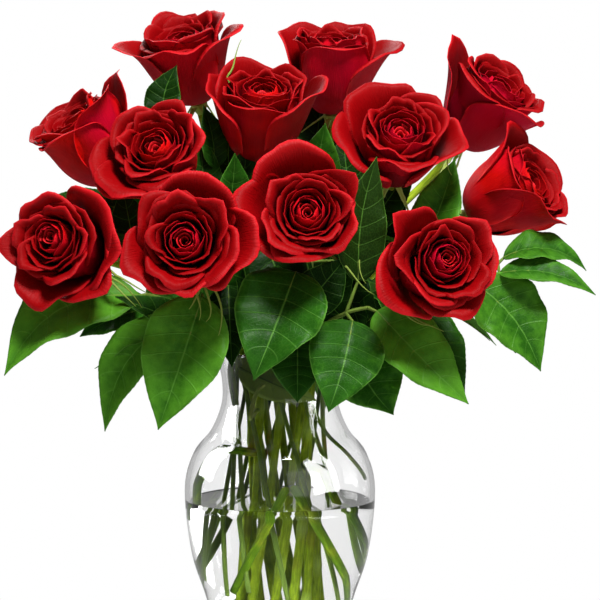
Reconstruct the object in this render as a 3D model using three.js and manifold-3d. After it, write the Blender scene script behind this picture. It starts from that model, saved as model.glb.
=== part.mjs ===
// A dozen red roses with leafy salal sprays, standing in a clear glass ginger vase of water.
// Millimetres, +Z up. The origin is the centre of the vase's flat foot, and the front of the bouquet
// faces -Y.

import * as THREE from "three";
import { mergeVertices } from "three/addons/utils/BufferGeometryUtils.js";
import Module from "manifold-3d";

const wasm = await Module();
wasm.setup();

const degree = Math.PI / 180;
const seatGap = 0.3; // between pieces that touch

// Driving dimensions of the vase and its water
const vase = {
  sides: 20,
  wall: 3.2,
  floor: 11,
  floorCornerRise: 6,
  floorCornerInset: 4,
  footRadius: 36.5,
  rimHeight: 250,
  neckHeight: 228,
  waterLevel: 148,
  profileSteps: 12,
};

// Outer radius and height of the glass, from the foot up to the flared rim
const vaseKnots = [
  [39, 3],
  [37.2, 20],
  [40, 42],
  [50.3, 80],
  [60.5, 112],
  [65, 155],
  [58.8, 180],
  [46.9, 195.5],
  [39.9, 213],
  [39.3, 228],
  [42, 241],
  [47, vase.rimHeight],
];

// Driving dimensions of one rose at size 1
const rose = {
  cupHeight: 50,
  petalThickness: 0.9,
  calyxRadius: 6,
  calyxLength: 9,
  stemRadius: 2.8,
  neckRadius: 22,
  footRadius: 26,
  footTwist: 80,
  stemIntoCalyx: 2,
  footTiltRoom: 0.6, // lifts the slanted cut end clear of the vase's floor
  straightShare: 0.42, // how long the stem keeps its slant past the neck, against the way left to go
  noddingShare: 0.36, // and how long it keeps the flower's own direction below the flower
  sepalLength: 24,
  sepalWidth: 4.4,
  sepalFlatness: 0.4,
  sepalRootDepth: 1.8,
  sepalRootDrop: 2.2,
};

// The closed heart of a rose at size 1, [radius, height], on the broad base that the petals root in
const heartOutline = [[0, 0], [9, 0], [15, 3.5], [3, 7], [4, 30], [0, 44]];

// Driving dimensions of one salal spray
const salal = {
  stemRadius: 1.7,
  neckRadius: 31,
  footTwist: -60,
  glassRoom: 0.8, // between the cut end and the glass that it leans on
  stalkHalfWidth: 1.2,
  stalkTaper: 0.7,
  leafThickness: 0.8,
  leafRows: 5,
  fold: 0.22,
  wave: 0.06,
};

// Room round a stem in the water, and how far the hole reaches below the stem's cut end
const holeRoom = 0.8;
const holeDepth = 1.5;

// Each rose: the middle of its open rim, the way it faces, how far its outer petals flare,
// its size, its turn about its own axis, and where its stem passes the vase's neck.
const roses = [
  { rim: [-69, 50, 466], faces: [-0.22, -0.36, 0.91], flare: 46, size: 1.04, roll: 190, neckAngle: 128 },
  { rim: [37, 55, 463], faces: [0.02, -0.27, 0.96], flare: 41, size: 1.08, roll: 350, neckAngle: 72 },
  { rim: [155, 40, 431], faces: [0.55, -0.37, 0.75], flare: 43, size: 1.1, roll: 160, neckAngle: 40 },
  { rim: [-144, 20, 408], faces: [-0.57, -0.3, 0.76], flare: 43, size: 1.08, roll: 30, neckAngle: 153 },
  { rim: [-83, -45, 391], faces: [-0.2, -0.8, 0.56], flare: 44, size: 1.0, roll: 200, neckAngle: 178 },
  { rim: [-11, -5, 428], faces: [0.06, -0.5, 0.86], flare: 39, size: 1.1, roll: 190, neckAngle: 100 },
  { rim: [82, -35, 401], faces: [0.1, -0.76, 0.64], flare: 43, size: 1.04, roll: 200, neckAngle: 15 },
  { rim: [174, 0, 366], faces: [0.78, -0.42, 0.46], flare: 41, size: 1.1, roll: 340, neckAngle: -10 },
  { rim: [-146, -75, 323], faces: [-0.4, -0.9, 0.16], flare: 46, size: 1.0, roll: 300, neckAngle: 203 },
  { rim: [-60, -120, 331], faces: [-0.05, -0.97, 0.22], flare: 48, size: 1.04, roll: 280, neckAngle: 235 },
  { rim: [19, -100, 349], faces: [0.03, -0.93, 0.35], flare: 45, size: 1.02, roll: 185, neckAngle: 278 },
  { rim: [105, -105, 315], faces: [0.26, -0.93, 0.2], flare: 48, size: 1.02, roll: 225, neckAngle: 320 },
];

// The petals of one rose, from the outside in: how far out in the flower each one sits, from 0 at
// the heart to 1 outside, its direction round the axis, its half width as an angle, and its
// columns and rows of faces. Directions and widths keep to steps of 36 degrees, so that the
// flat faces of one petal lie along those of the next and don't cross them.
const petals = [
  { layer: 1, turn: 0, spread: 54, columns: 3, rows: 3 },
  { layer: 0.92, turn: 144, spread: 54, columns: 3, rows: 3 },
  { layer: 0.84, turn: 288, spread: 54, columns: 3, rows: 3 },
  { layer: 0.76, turn: 72, spread: 54, columns: 3, rows: 2 },
  { layer: 0.68, turn: 216, spread: 54, columns: 3, rows: 2 },
  { layer: 0.54, turn: 36, spread: 54, columns: 2, rows: 2 },
  { layer: 0.46, turn: 144, spread: 54, columns: 2, rows: 2 },
  { layer: 0.38, turn: 252, spread: 54, columns: 2, rows: 2 },
  { layer: 0.2, turn: 80, spread: 72, columns: 2, rows: 2 },
  { layer: 0.12, turn: 260, spread: 72, columns: 2, rows: 2 },
];

// Each spray: where its stem passes the neck, the height of its cut end, the points its stem goes
// on through above the neck, and its leaves. A leaf grows from stem point `from`, and runs from
// its base to its tip with its upper face towards `up`. Width is across, bend is how far it arches.
const sprays = [
  {
    name: "left",
    neckAngle: 186,
    cutHeight: 92,
    through: [[-43, -9, 264], [-74, -24, 284], [-88, -36, 290]],
    leaves: [
      { from: 2, base: [-93, -40, 290], tip: [-179, -60, 238], up: [-0.2, -0.8, 0.6], width: 62, bend: 38 },
      { from: 1, base: [-84, -30, 281], tip: [-133, -38, 262], up: [-0.1, -0.7, 0.7], width: 46, bend: 20 },
      { from: 0, base: [-60, -6, 276], tip: [-128, 20, 262], up: [-0.3, 0.2, 0.9], width: 54, bend: 30 },
    ],
  },
  {
    name: "front_left",
    neckAngle: 222,
    cutHeight: 70,
    through: [[-34, -31, 266], [-48, -55, 284], [-50, -70, 292]],
    leaves: [
      { from: 2, base: [-50, -76, 291], tip: [-78, -95, 206], up: [-0.1, -0.95, 0.25], width: 62, bend: 30 },
      { from: 1, base: [-62, -60, 277], tip: [-113, -60, 201], up: [-0.3, -0.9, 0.3], width: 42, bend: 25 },
      { from: 0, base: [-62, -42, 264], tip: [-122, -54, 242], up: [-0.1, 0.1, 0.95], width: 34, bend: 18 },
    ],
  },
  {
    name: "front",
    neckAngle: 268,
    cutHeight: 80,
    through: [[2, -44, 266], [8, -60, 288], [11, -66, 302]],
    leaves: [
      { from: 2, base: [11, -71, 307], tip: [-16, -105, 239], up: [-0.1, -0.9, 0.4], width: 68, bend: 32 },
      { from: 1, base: [14, -62, 281], tip: [44, -62, 316], up: [0.1, -0.98, -0.1], width: 40, bend: 15 },
      { from: 0, base: [12, -58, 262], tip: [12, -78, 222], up: [0, -0.95, 0.3], width: 46, bend: 15 },
    ],
  },
  {
    name: "front_right",
    neckAngle: 300,
    cutHeight: 100,
    through: [[28, -37, 266], [44, -58, 279], [58, -62, 283]],
    leaves: [
      { from: 1, base: [48, -74, 275], tip: [32, -100, 218], up: [0, -0.95, 0.3], width: 54, bend: 28 },
      { from: 2, base: [64, -66, 281], tip: [123, -88, 222], up: [0.2, -0.9, 0.4], width: 58, bend: 30 },
      { from: 0, base: [52, -48, 262], tip: [76, -70, 214], up: [0.2, -0.95, 0.2], width: 42, bend: 20 },
      { from: 1, base: [52, -56, 300], tip: [64, -62, 382], up: [0.3, -0.95, 0], width: 36, bend: 12 },
    ],
  },
  {
    name: "right",
    neckAngle: 340,
    cutHeight: 85,
    through: [[44, -12, 264], [90, -22, 288], [124, -30, 302], [146, -26, 310]],
    leaves: [
      { from: 2, base: [128, -36, 299], tip: [174, -40, 239], up: [0.3, -0.85, 0.4], width: 52, bend: 20 },
      { from: 3, base: [152, -24, 311], tip: [207, -20, 300], up: [0.1, -0.55, 0.8], width: 36, bend: 50 },
      { from: 3, base: [149, -32, 306], tip: [212, -42, 290], up: [0.1, -0.4, 0.9], width: 30, bend: 40 },
      { from: 1, base: [98, -34, 280], tip: [128, -66, 226], up: [0.3, -0.9, 0.3], width: 48, bend: 22 },
      { from: 1, base: [96, -16, 318], tip: [118, -12, 380], up: [-0.3, -0.9, 0.2], width: 42, bend: 16 },
    ],
  },
  {
    name: "back_right",
    neckAngle: 20,
    cutHeight: 75,
    through: [[41, 19, 264], [80, 42, 286], [100, 56, 294]],
    leaves: [
      { from: 2, base: [105, 60, 293], tip: [168, 92, 240], up: [0.4, 0.5, 0.8], width: 60, bend: 40 },
      { from: 1, base: [88, 36, 284], tip: [150, 36, 250], up: [0.4, 0, 0.9], width: 52, bend: 34 },
      { from: 0, base: [58, 36, 268], tip: [92, 88, 222], up: [0.4, 0.6, 0.7], width: 54, bend: 34 },
    ],
  },
  {
    name: "back",
    neckAngle: 78,
    cutHeight: 90,
    through: [[12, 42, 264], [32, 74, 286], [42, 94, 296]],
    leaves: [
      { from: 2, base: [43, 99, 296], tip: [66, 152, 232], up: [0.1, 0.8, 0.6], width: 62, bend: 36 },
      { from: 1, base: [28, 80, 284], tip: [4, 132, 246], up: [0, 0.7, 0.7], width: 56, bend: 30 },
      { from: 0, base: [22, 54, 262], tip: [34, 96, 208], up: [0.1, 0.9, 0.5], width: 50, bend: 28 },
    ],
  },
  {
    name: "back_left",
    neckAngle: 112,
    cutHeight: 78,
    through: [[-19, 41, 264], [-44, 76, 286], [-56, 92, 296]],
    leaves: [
      { from: 2, base: [-59, 96, 296], tip: [-92, 144, 236], up: [-0.1, 0.8, 0.6], width: 62, bend: 36 },
      { from: 1, base: [-54, 66, 284], tip: [-116, 92, 250], up: [-0.4, 0.4, 0.8], width: 56, bend: 30 },
      { from: 0, base: [-22, 56, 262], tip: [-30, 98, 208], up: [-0.1, 0.9, 0.5], width: 50, bend: 28 },
    ],
  },
  {
    name: "upper_left",
    neckAngle: 165,
    cutHeight: 88,
    through: [[-31, 10, 262], [-37, 13, 281], [-40, 15, 300], [-42, 6, 332], [-43, 4, 368], [-50, 6, 396]],
    leaves: [
      { from: 5, base: [-54, 4, 402], tip: [-70, 6, 443], up: [-0.2, -0.95, 0.2], width: 30, bend: 15 },
      { from: 4, base: [-44, 1, 374], tip: [-52, 6, 416], up: [0.5, -0.85, 0], width: 26, bend: 15 },
      { from: 3, base: [-38, -4, 336], tip: [-30, -18, 384], up: [0.4, -0.9, 0], width: 34, bend: 15 },
    ],
  },
  {
    name: "upper_back",
    neckAngle: 97,
    cutHeight: 84,
    through: [[0, 31, 262], [12, 26, 312], [22, 24, 344]],
    leaves: [
      { from: 2, base: [27, 24, 352], tip: [31, 14, 404], up: [0, -0.95, 0.2], width: 38, bend: 15 },
      { from: 1, base: [22, 34, 324], tip: [52, 56, 368], up: [0.2, 0.7, 0.7], width: 42, bend: 25 },
      { from: 1, base: [6, 36, 322], tip: [-8, 84, 362], up: [-0.1, 0.7, 0.7], width: 46, bend: 25 },
    ],
  },
  {
    name: "upper_back_left",
    neckAngle: 140,
    cutHeight: 96,
    through: [[-28, 28, 262], [-50, 52, 320], [-62, 62, 350]],
    leaves: [
      { from: 2, base: [-66, 66, 356], tip: [-104, 88, 392], up: [-0.2, 0.6, 0.8], width: 48, bend: 30 },
      { from: 1, base: [-52, 60, 326], tip: [-62, 116, 348], up: [0, 0.4, 0.9], width: 52, bend: 35 },
      { from: 1, base: [-58, 60, 320], tip: [-104, 88, 316], up: [-0.1, 0.2, 0.97], width: 46, bend: 35 },
    ],
  },
  {
    name: "upper_back_right",
    neckAngle: 56,
    cutHeight: 72,
    through: [[20, 36, 262], [44, 62, 312], [60, 76, 345]],
    leaves: [
      { from: 2, base: [66, 80, 350], tip: [108, 98, 384], up: [0.2, 0.6, 0.8], width: 48, bend: 30 },
      { from: 1, base: [46, 72, 316], tip: [60, 124, 336], up: [0, 0.4, 0.9], width: 52, bend: 35 },
      { from: 1, base: [56, 66, 312], tip: [112, 82, 312], up: [0.1, 0.2, 0.97], width: 46, bend: 35 },
    ],
  },
];

const colours = {
  petal: { color: 0xb0060f, roughness: 0.55, metalness: 0 },
  stem: { color: 0x6a8f1e, roughness: 0.6, metalness: 0 },
  leaf: { color: 0x1f6a21, roughness: 0.5, metalness: 0 },
  glass: { color: 0xf4f7f7, roughness: 0.03, metalness: 0, transparent: true, opacity: 0.3 },
  water: { color: 0xeef5f2, roughness: 0.02, metalness: 0, transparent: true, opacity: 0.3 },
};

// A closed geometry as a solid that can be joined and cut
function solidOf(geometry) {
  const bare = geometry.clone();
  bare.deleteAttribute("normal");
  bare.deleteAttribute("uv");
  const merged = mergeVertices(bare, 1e-3);
  const corners = Array.from(merged.index.array);
  const kept = [];
  for (let i = 0; i < corners.length; i += 3) {
    const [a, b, c] = corners.slice(i, i + 3);
    if (a !== b && b !== c && c !== a) kept.push(a, b, c);
  }
  return new wasm.Manifold(
    new wasm.Mesh({
      numProp: 3,
      vertProperties: merged.attributes.position.array,
      triVerts: new Uint32Array(kept),
    }),
  );
}

// The triangles of a solid as a geometry with flat shaded faces
function geometryOf(solid) {
  const mesh = solid.getMesh();
  const geometry = new THREE.BufferGeometry();
  geometry.setAttribute("position", new THREE.BufferAttribute(new Float32Array(mesh.vertProperties), 3));
  geometry.setIndex(new THREE.BufferAttribute(new Uint32Array(mesh.triVerts), 1));
  const flat = geometry.toNonIndexed();
  flat.computeVertexNormals();
  return flat;
}

function joined(solids) {
  return solids.reduce((all, next) => all.add(next));
}

function namedMesh(name, geometry, finish) {
  const mesh = new THREE.Mesh(geometry, new THREE.MeshStandardMaterial(finish));
  mesh.name = name;
  return mesh;
}

// A body turned round the Z axis from [radius, height] points that run outwards and up
function turned(points, sides) {
  const outline = points.map(([radius, height]) => new THREE.Vector2(radius, height));
  return new THREE.LatheGeometry(outline, sides).rotateX(Math.PI / 2);
}

// A smooth curve through its points, whose steps fall on the points themselves
class KnotCurve extends THREE.CatmullRomCurve3 {
  getPointAt(share, target) {
    return this.getPoint(share, target);
  }
  getTangentAt(share, target) {
    return this.getTangent(share, target);
  }
}

// A rod of even radius through points
function rod(points, radius, sides) {
  const corners = Array.from({ length: sides }, (_, i) => {
    const angle = (2 * Math.PI * i) / sides;
    return new THREE.Vector2(radius * Math.cos(angle), radius * Math.sin(angle));
  });
  const extrudePath = new KnotCurve(points, false, "centripetal");
  return new THREE.ExtrudeGeometry(new THREE.Shape(corners), { steps: points.length - 1, extrudePath });
}

// A thin blade: pointAt(across, along) gives its middle surface, with across from -1 to 1 and along
// from 0 to 1. Both faces are split into triangles alike, and a rim closes it.
function blade(pointAt, thickness, acrossSteps, alongSteps) {
  const rows = alongSteps + 1;
  const columns = acrossSteps + 1;
  const grid = (i, j) => pointAt((2 * i) / acrossSteps - 1, j / alongSteps);
  const nudge = 0.02;
  const normalAt = (i, j) => {
    const a = (2 * i) / acrossSteps - 1;
    const t = j / alongSteps;
    const across = pointAt(Math.min(a + nudge, 1), t).sub(pointAt(Math.max(a - nudge, -1), t));
    const along = pointAt(a, Math.min(t + nudge, 1)).sub(pointAt(a, Math.max(t - nudge, 0)));
    return across.cross(along).normalize();
  };
  const positions = [];
  for (const side of [0.5, -0.5]) {
    for (let j = 0; j < rows; j++) {
      for (let i = 0; i < columns; i++) {
        const point = grid(i, j).addScaledVector(normalAt(i, j), side * thickness);
        positions.push(point.x, point.y, point.z);
      }
    }
  }
  const at = (i, j, side) => side * rows * columns + j * columns + i;
  const index = [];
  const quad = (a, b, c, d) => index.push(a, b, c, a, c, d);
  for (let j = 0; j < alongSteps; j++) {
    for (let i = 0; i < acrossSteps; i++) {
      quad(at(i, j, 0), at(i + 1, j, 0), at(i + 1, j + 1, 0), at(i, j + 1, 0));
      index.push(at(i, j, 1), at(i + 1, j + 1, 1), at(i + 1, j, 1));
      index.push(at(i, j, 1), at(i, j + 1, 1), at(i + 1, j + 1, 1));
    }
  }
  const edge = [];
  for (let i = 0; i < acrossSteps; i++) edge.push([i, 0]);
  for (let j = 0; j < alongSteps; j++) edge.push([acrossSteps, j]);
  for (let i = acrossSteps; i > 0; i--) edge.push([i, alongSteps]);
  for (let j = alongSteps; j > 0; j--) edge.push([0, j]);
  edge.forEach(([i, j], n) => {
    const [k, l] = edge[(n + 1) % edge.length];
    quad(at(i, j, 1), at(k, l, 1), at(k, l, 0), at(i, j, 0));
  });
  const geometry = new THREE.BufferGeometry();
  geometry.setAttribute("position", new THREE.BufferAttribute(new Float32Array(positions), 3));
  geometry.setIndex(index);
  return geometry;
}

// The glass: a turned body, open at the rim, with a thick floor
const outerWall = new THREE.SplineCurve(vaseKnots.map(([r, z]) => new THREE.Vector2(r, z)))
  .getPoints(vase.profileSteps)
  .map((p) => [p.x, p.y]);
const innerWall = outerWall
  .map(([radius, height]) => [radius - vase.wall, height])
  .filter(([, height]) => height > vase.floor + vase.floorCornerRise);
const floorCorner = [innerWall[0][0] - vase.floorCornerInset, vase.floor];

function vaseGeometry() {
  return turned(
    [[0, 0], [vase.footRadius, 0], ...outerWall, ...innerWall.toReversed(), floorCorner, [0, vase.floor]],
    vase.sides,
  );
}

// The inside radius of the glass at a height, taken at the middle of a flat side
function insideRadius(height) {
  const wall = [floorCorner, ...innerWall];
  const above = wall.findIndex(([, z]) => z > height);
  const [r0, z0] = wall[above - 1];
  const [r1, z1] = wall[above];
  const radius = r0 + ((r1 - r0) * (height - z0)) / (z1 - z0);
  return radius * Math.cos(Math.PI / vase.sides);
}

const polar = (radius, angle, height) =>
  new THREE.Vector3(radius * Math.cos(angle * degree), radius * Math.sin(angle * degree), height);

// The stem of one rose: straight from the vase's floor to its neck, then bent over to its flower
function roseStemPoints({ rim, faces, size, neckAngle }) {
  const axis = new THREE.Vector3(...faces).normalize();
  const base = new THREE.Vector3(...rim).addScaledVector(axis, -rose.cupHeight * size);
  const top = base.clone().addScaledVector(axis, rose.stemIntoCalyx - seatGap - rose.calyxLength);
  const footHeight = vase.floor + seatGap + rose.footTiltRoom;
  const foot = polar(rose.footRadius, neckAngle - rose.footTwist, footHeight);
  const neck = polar(rose.neckRadius, neckAngle, vase.neckHeight);
  const rise = neck.clone().sub(foot).normalize();
  const reach = neck.distanceTo(top);
  const bend = new THREE.CubicBezierCurve3(
    neck,
    neck.clone().addScaledVector(rise, reach * rose.straightShare),
    top.clone().addScaledVector(axis, -reach * rose.noddingShare),
    top,
  );
  return { foot, neck, axis, base, points: [foot, ...bend.getPoints(3)] };
}

// The calyx under the petals, turned round the flower's axis with its top at height 0
function calyxSolid() {
  const outline = [
    [0, -rose.calyxLength],
    [rose.stemRadius + 0.4, -rose.calyxLength],
    [rose.calyxRadius, -rose.calyxLength * 0.45],
    [rose.calyxRadius, -seatGap],
    [0, -seatGap],
  ];
  return solidOf(turned(outline, 5));
}

// A narrow three-sided sepal that hangs from the calyx: `hang` is its angle below the horizontal
function sepalSolid(angle, hang) {
  const spike = new THREE.ConeGeometry(rose.sepalWidth / Math.sqrt(3), rose.sepalLength, 3)
    .scale(rose.sepalFlatness, 1, 1)
    .translate(0, rose.sepalLength / 2, 0)
    .rotateX(Math.PI / 2)
    .rotateY(Math.PI / 2 + hang)
    .translate(rose.calyxRadius - rose.sepalRootDepth, 0, -rose.sepalRootDrop)
    .rotateZ(angle * degree);
  return solidOf(spike);
}

function roseStemGeometry(plan, number) {
  const { points, base, axis } = roseStemPoints(plan);
  const stem = solidOf(rod(points, rose.stemRadius, 5));
  const turn = new THREE.Quaternion().setFromUnitVectors(new THREE.Vector3(0, 0, 1), axis);
  const place = new THREE.Matrix4().compose(base, turn, new THREE.Vector3(1, 1, 1));
  const sepals = Array.from({ length: 5 }, (_, i) => {
    const hang = (35 + 35 * Math.abs(Math.sin(1.7 * number + 2.3 * i))) * degree;
    return sepalSolid(plan.roll + 36 + 72 * i, hang);
  });
  const head = joined([calyxSolid(), ...sepals]).transform(place.elements);
  return geometryOf(stem.add(head));
}

// A petal's outline from base to lip, as five control points [out from the axis, height] of a
// Bezier curve. They move out together with the petal's layer, so no petal crosses another.
function petalProfile(layer, flare) {
  const lip = layer * layer * (3 - 2 * layer);
  return [
    [2 + 5 * layer, 3 - layer],
    [4 + 15 * layer, 9 - 8 * layer],
    [7 + 20 * layer, 28 - 6 * layer],
    [7 + 23 * layer, 50 - 2 * layer],
    [4 + (flare - 4) * lip, 52 - 5 * layer * layer],
  ];
}

// One petal: its profile swept round the axis, with its upper corners rounded off
function petalSolid({ layer, turn, spread, columns, rows }, flare) {
  const controls = petalProfile(layer, flare);
  const binomials = [1, 4, 6, 4, 1];
  const pointAt = (a, t) => {
    const along = (0.08 + 0.92 * t) * (1 - 0.15 * t * Math.pow(Math.abs(a), 2.4));
    let radius = 0;
    let height = 0;
    controls.forEach(([r, z], k) => {
      const weight = binomials[k] * Math.pow(1 - along, 4 - k) * Math.pow(along, k);
      radius += weight * r;
      height += weight * z;
    });
    const angle = (turn + a * spread) * degree;
    return new THREE.Vector3(radius * Math.cos(angle), radius * Math.sin(angle), height);
  };
  return solidOf(blade(pointAt, rose.petalThickness, columns, rows));
}

// One flower: a closed heart on a broad base, with the petals rooted in the base
function bloomGeometry(plan) {
  const { size } = plan;
  const heart = solidOf(turned(heartOutline, 6));
  const layers = petals.map((petal) => petalSolid(petal, plan.flare / size));
  return geometryOf(joined([heart, ...layers]).scale([size, size, size]));
}

function bloomMesh(plan, name) {
  const { base, axis } = roseStemPoints(plan);
  const mesh = namedMesh(name, bloomGeometry(plan), colours.petal);
  mesh.position.copy(base);
  mesh.quaternion.setFromUnitVectors(new THREE.Vector3(0, 0, 1), axis);
  mesh.rotateZ(plan.roll * degree);
  return mesh;
}

// A salal leaf's half width at a share of its length, where 1 is its widest place: a round base,
// fullest a third of the way up, then a long taper to the drawn-out tip
const leafOutline = (share) => 1.72 * Math.pow(share, 0.55) * Math.pow(1 - Math.pow(share, 1.5), 1.25);

// A salal leaf on its stalk, folded at the rib and arched from base to tip. The first row of faces is
// the stalk, from the spray's stem to the leaf's base.
function leafSolid({ base, tip, up, width, bend }, stalkStart) {
  const from = new THREE.Vector3(...base);
  const chord = new THREE.Vector3(...tip).sub(from);
  const length = chord.length();
  chord.normalize();
  const normal = new THREE.Vector3(...up);
  normal.addScaledVector(chord, -normal.dot(chord)).normalize();
  const side = normal.clone().cross(chord);
  const arch = bend * degree;
  const arcRadius = length / (2 * Math.sin(arch / 2));
  const stalkShare = 1 / salal.leafRows;
  const pointAt = (a, t) => {
    if (t < stalkShare) {
      return stalkStart.clone().lerp(from, t / stalkShare).addScaledVector(side, a * salal.stalkHalfWidth);
    }
    const share = (t - stalkShare) / (1 - stalkShare);
    const halfBlade = 0.5 * width * leafOutline(share);
    const halfWidth = halfBlade + salal.stalkHalfWidth * (1 - salal.stalkTaper * share);
    const slope = arch / 2 - arch * share;
    const raised = arcRadius * (Math.cos(slope) - Math.cos(arch / 2));
    const wave = Math.abs(a) * halfBlade * (salal.fold + salal.wave * Math.sin(9 * share + width));
    return from.clone()
      .addScaledVector(chord, arcRadius * (Math.sin(arch / 2) - Math.sin(slope)))
      .addScaledVector(side, a * halfWidth)
      .addScaledVector(normal, raised + wave);
  };
  return solidOf(blade(pointAt, salal.leafThickness, 2, salal.leafRows));
}

// The straight stretch of a spray's stem: it leans on the glass below, and clears the rim above
function sprayFoot({ neckAngle, cutHeight }) {
  const clearance = salal.stemRadius + salal.glassRoom;
  const cut = polar(insideRadius(cutHeight) - clearance, neckAngle - salal.footTwist, cutHeight);
  return { cut, neck: polar(salal.neckRadius, neckAngle, vase.neckHeight) };
}

function sprayGeometry(plan) {
  const { cut, neck } = sprayFoot(plan);
  const through = plan.through.map((p) => new THREE.Vector3(...p));
  const pieces = [solidOf(rod([cut, neck, ...through], salal.stemRadius, 5))];
  plan.leaves.forEach((leaf) => pieces.push(leafSolid(leaf, through[leaf.from])));
  return geometryOf(joined(pieces));
}

// The water: it fills the glass to its level, with a plain hole for each stem that stands in it
function waterGeometry() {
  const wall = innerWall.filter(([, height]) => height < vase.waterLevel);
  const surface = insideRadius(vase.waterLevel) / Math.cos(Math.PI / vase.sides);
  const inset = seatGap + 0.1;
  const outline = [
    [0, vase.floor + seatGap],
    [floorCorner[0] - inset, vase.floor + seatGap],
    ...wall.map(([radius, height]) => [radius - inset, height]),
    [surface - inset, vase.waterLevel],
    [0, vase.waterLevel],
  ];
  const body = solidOf(turned(outline, vase.sides));
  const holes = [
    ...roses.map((plan) => {
      const { foot, neck } = roseStemPoints(plan);
      return { foot, neck, radius: rose.stemRadius + holeRoom };
    }),
    ...sprays.map((plan) => {
      const { cut, neck } = sprayFoot(plan);
      return { foot: cut, neck, radius: salal.stemRadius + holeRoom };
    }),
  ].map(({ foot, neck, radius }) => {
    const along = neck.clone().sub(foot).normalize();
    const start = foot.clone().addScaledVector(along, -holeDepth);
    return solidOf(rod([start, neck], radius, 6));
  });
  return geometryOf(body.subtract(joined(holes)));
}

const bouquet = new THREE.Group();
bouquet.add(namedMesh("vase", vaseGeometry(), colours.glass));
bouquet.add(namedMesh("water", waterGeometry(), colours.water));
roses.forEach((plan, i) => {
  const number = String(i + 1).padStart(2, "0");
  bouquet.add(bloomMesh(plan, `rose_bloom_${number}`));
  bouquet.add(namedMesh(`rose_stem_${number}`, roseStemGeometry(plan, i), colours.stem));
});
sprays.forEach((plan) => {
  bouquet.add(namedMesh(`salal_spray_${plan.name}`, sprayGeometry(plan), colours.leaf));
});

export default bouquet;
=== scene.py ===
import math

import bpy
import numpy as np
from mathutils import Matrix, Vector


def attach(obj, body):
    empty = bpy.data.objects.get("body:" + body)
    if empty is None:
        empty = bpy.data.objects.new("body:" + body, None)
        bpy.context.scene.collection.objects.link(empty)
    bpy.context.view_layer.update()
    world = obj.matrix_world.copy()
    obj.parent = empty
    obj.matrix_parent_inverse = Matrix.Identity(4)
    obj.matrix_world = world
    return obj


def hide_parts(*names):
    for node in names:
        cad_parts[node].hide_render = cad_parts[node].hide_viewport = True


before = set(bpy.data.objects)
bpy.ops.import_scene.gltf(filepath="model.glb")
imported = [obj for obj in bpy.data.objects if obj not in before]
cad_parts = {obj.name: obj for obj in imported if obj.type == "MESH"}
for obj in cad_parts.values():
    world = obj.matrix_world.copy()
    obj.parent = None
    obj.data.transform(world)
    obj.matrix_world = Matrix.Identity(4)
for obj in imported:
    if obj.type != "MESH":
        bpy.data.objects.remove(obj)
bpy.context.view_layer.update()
print("frame loaded:", len(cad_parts), "nodes")

scene = bpy.context.scene
rng = np.random.default_rng(12)  # every draw below comes from this one, in order

# the photograph's camera, in metres: its picture is frameWidth wide at the vase's axis
photoView = {"at": (0.0137, -1.8, 0.4), "looksAt": (0.0137, 0, 0.284), "frameWidth": 0.408}


def placeCamera():
    data = bpy.data.cameras.new("photoCamera")
    camera = bpy.data.objects.new("photoCamera", data)
    scene.collection.objects.link(camera)
    towards = Vector(photoView["looksAt"]) - Vector(photoView["at"])
    camera.location = photoView["at"]
    camera.rotation_mode = "QUATERNION"
    camera.rotation_quaternion = towards.to_track_quat("-Z", "Y")
    data.sensor_width = 36
    data.lens = data.sensor_width * towards.length / photoView["frameWidth"]
    data.clip_end = 50
    scene.camera = camera


placeCamera()
print("camera placed")

# Shader maths


class Wire:
    # an output socket of a node tree: sums and products of wires add Math nodes to the tree
    def __init__(self, tree, socket=None):
        self.tree = tree
        self.socket = socket

    def node(self, kind, settings=None, inputs=None, output=0):
        made = self.tree.nodes.new(kind)
        for key, value in (settings or {}).items():
            setattr(made, key, value)
        for key, value in (inputs or {}).items():
            if isinstance(value, Wire):
                self.tree.links.new(value.socket, made.inputs[key])
            else:
                made.inputs[key].default_value = value
        return Wire(self.tree, None if output is None else made.outputs[output])

    def math(self, operation, first, second=0.0):
        return self.node("ShaderNodeMath", {"operation": operation}, {0: first, 1: second})

    def __add__(self, other):
        return self.math("ADD", self, other)

    def __radd__(self, other):
        return self.math("ADD", other, self)

    def __sub__(self, other):
        return self.math("SUBTRACT", self, other)

    def __rsub__(self, other):
        return self.math("SUBTRACT", other, self)

    def __mul__(self, other):
        return self.math("MULTIPLY", self, other)

    def __rmul__(self, other):
        return self.math("MULTIPLY", other, self)

    def __pow__(self, other):
        return self.math("POWER", self, other)

    def __abs__(self):
        return self.math("ABSOLUTE", self)

    def max(self, other):
        return self.math("MAXIMUM", self, other)

    def ramp(self, low, high):
        # 0 up to low, 1 from high on, straight in between
        inputs = {"Value": self, "From Min": low, "From Max": high}
        return self.node("ShaderNodeMapRange", None, inputs)

    def mix(self, first, second):
        # the first colour where this wire is 0, the second where it is 1: sockets 6, 7 and 2 of the
        # node are its colour ones
        return self.node("ShaderNodeMix", {"data_type": "RGBA"}, {0: self, 6: first, 7: second}, output=2)

    def attribute(self, name):
        return self.node("ShaderNodeAttribute", {"attribute_name": name}, output="Fac")

    def place(self):
        return self.node("ShaderNodeTexCoord", output="Object")

    def part(self, axis):
        # one coordinate of a vector wire
        return self.node("ShaderNodeSeparateXYZ", None, {0: self}, output=axis)

    def sheetMap(self):
        return self.node("ShaderNodeUVMap", {"uv_map": "sheetMap"})

    def stretch(self, scale):
        return self.node("ShaderNodeMapping", None, {"Vector": self, "Scale": scale})

    def noise(self, scale, detail=2.0):
        return self.node("ShaderNodeTexNoise", None, {"Vector": self, "Scale": scale, "Detail": detail})

    def bump(self, strength, distance):
        inputs = {"Height": self, "Strength": strength, "Distance": distance}
        return self.node("ShaderNodeBump", None, inputs)

    def finish(self, kind="Material"):
        self.node("ShaderNodeOutput" + kind, None, {"Surface": self}, output=None)


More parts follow.
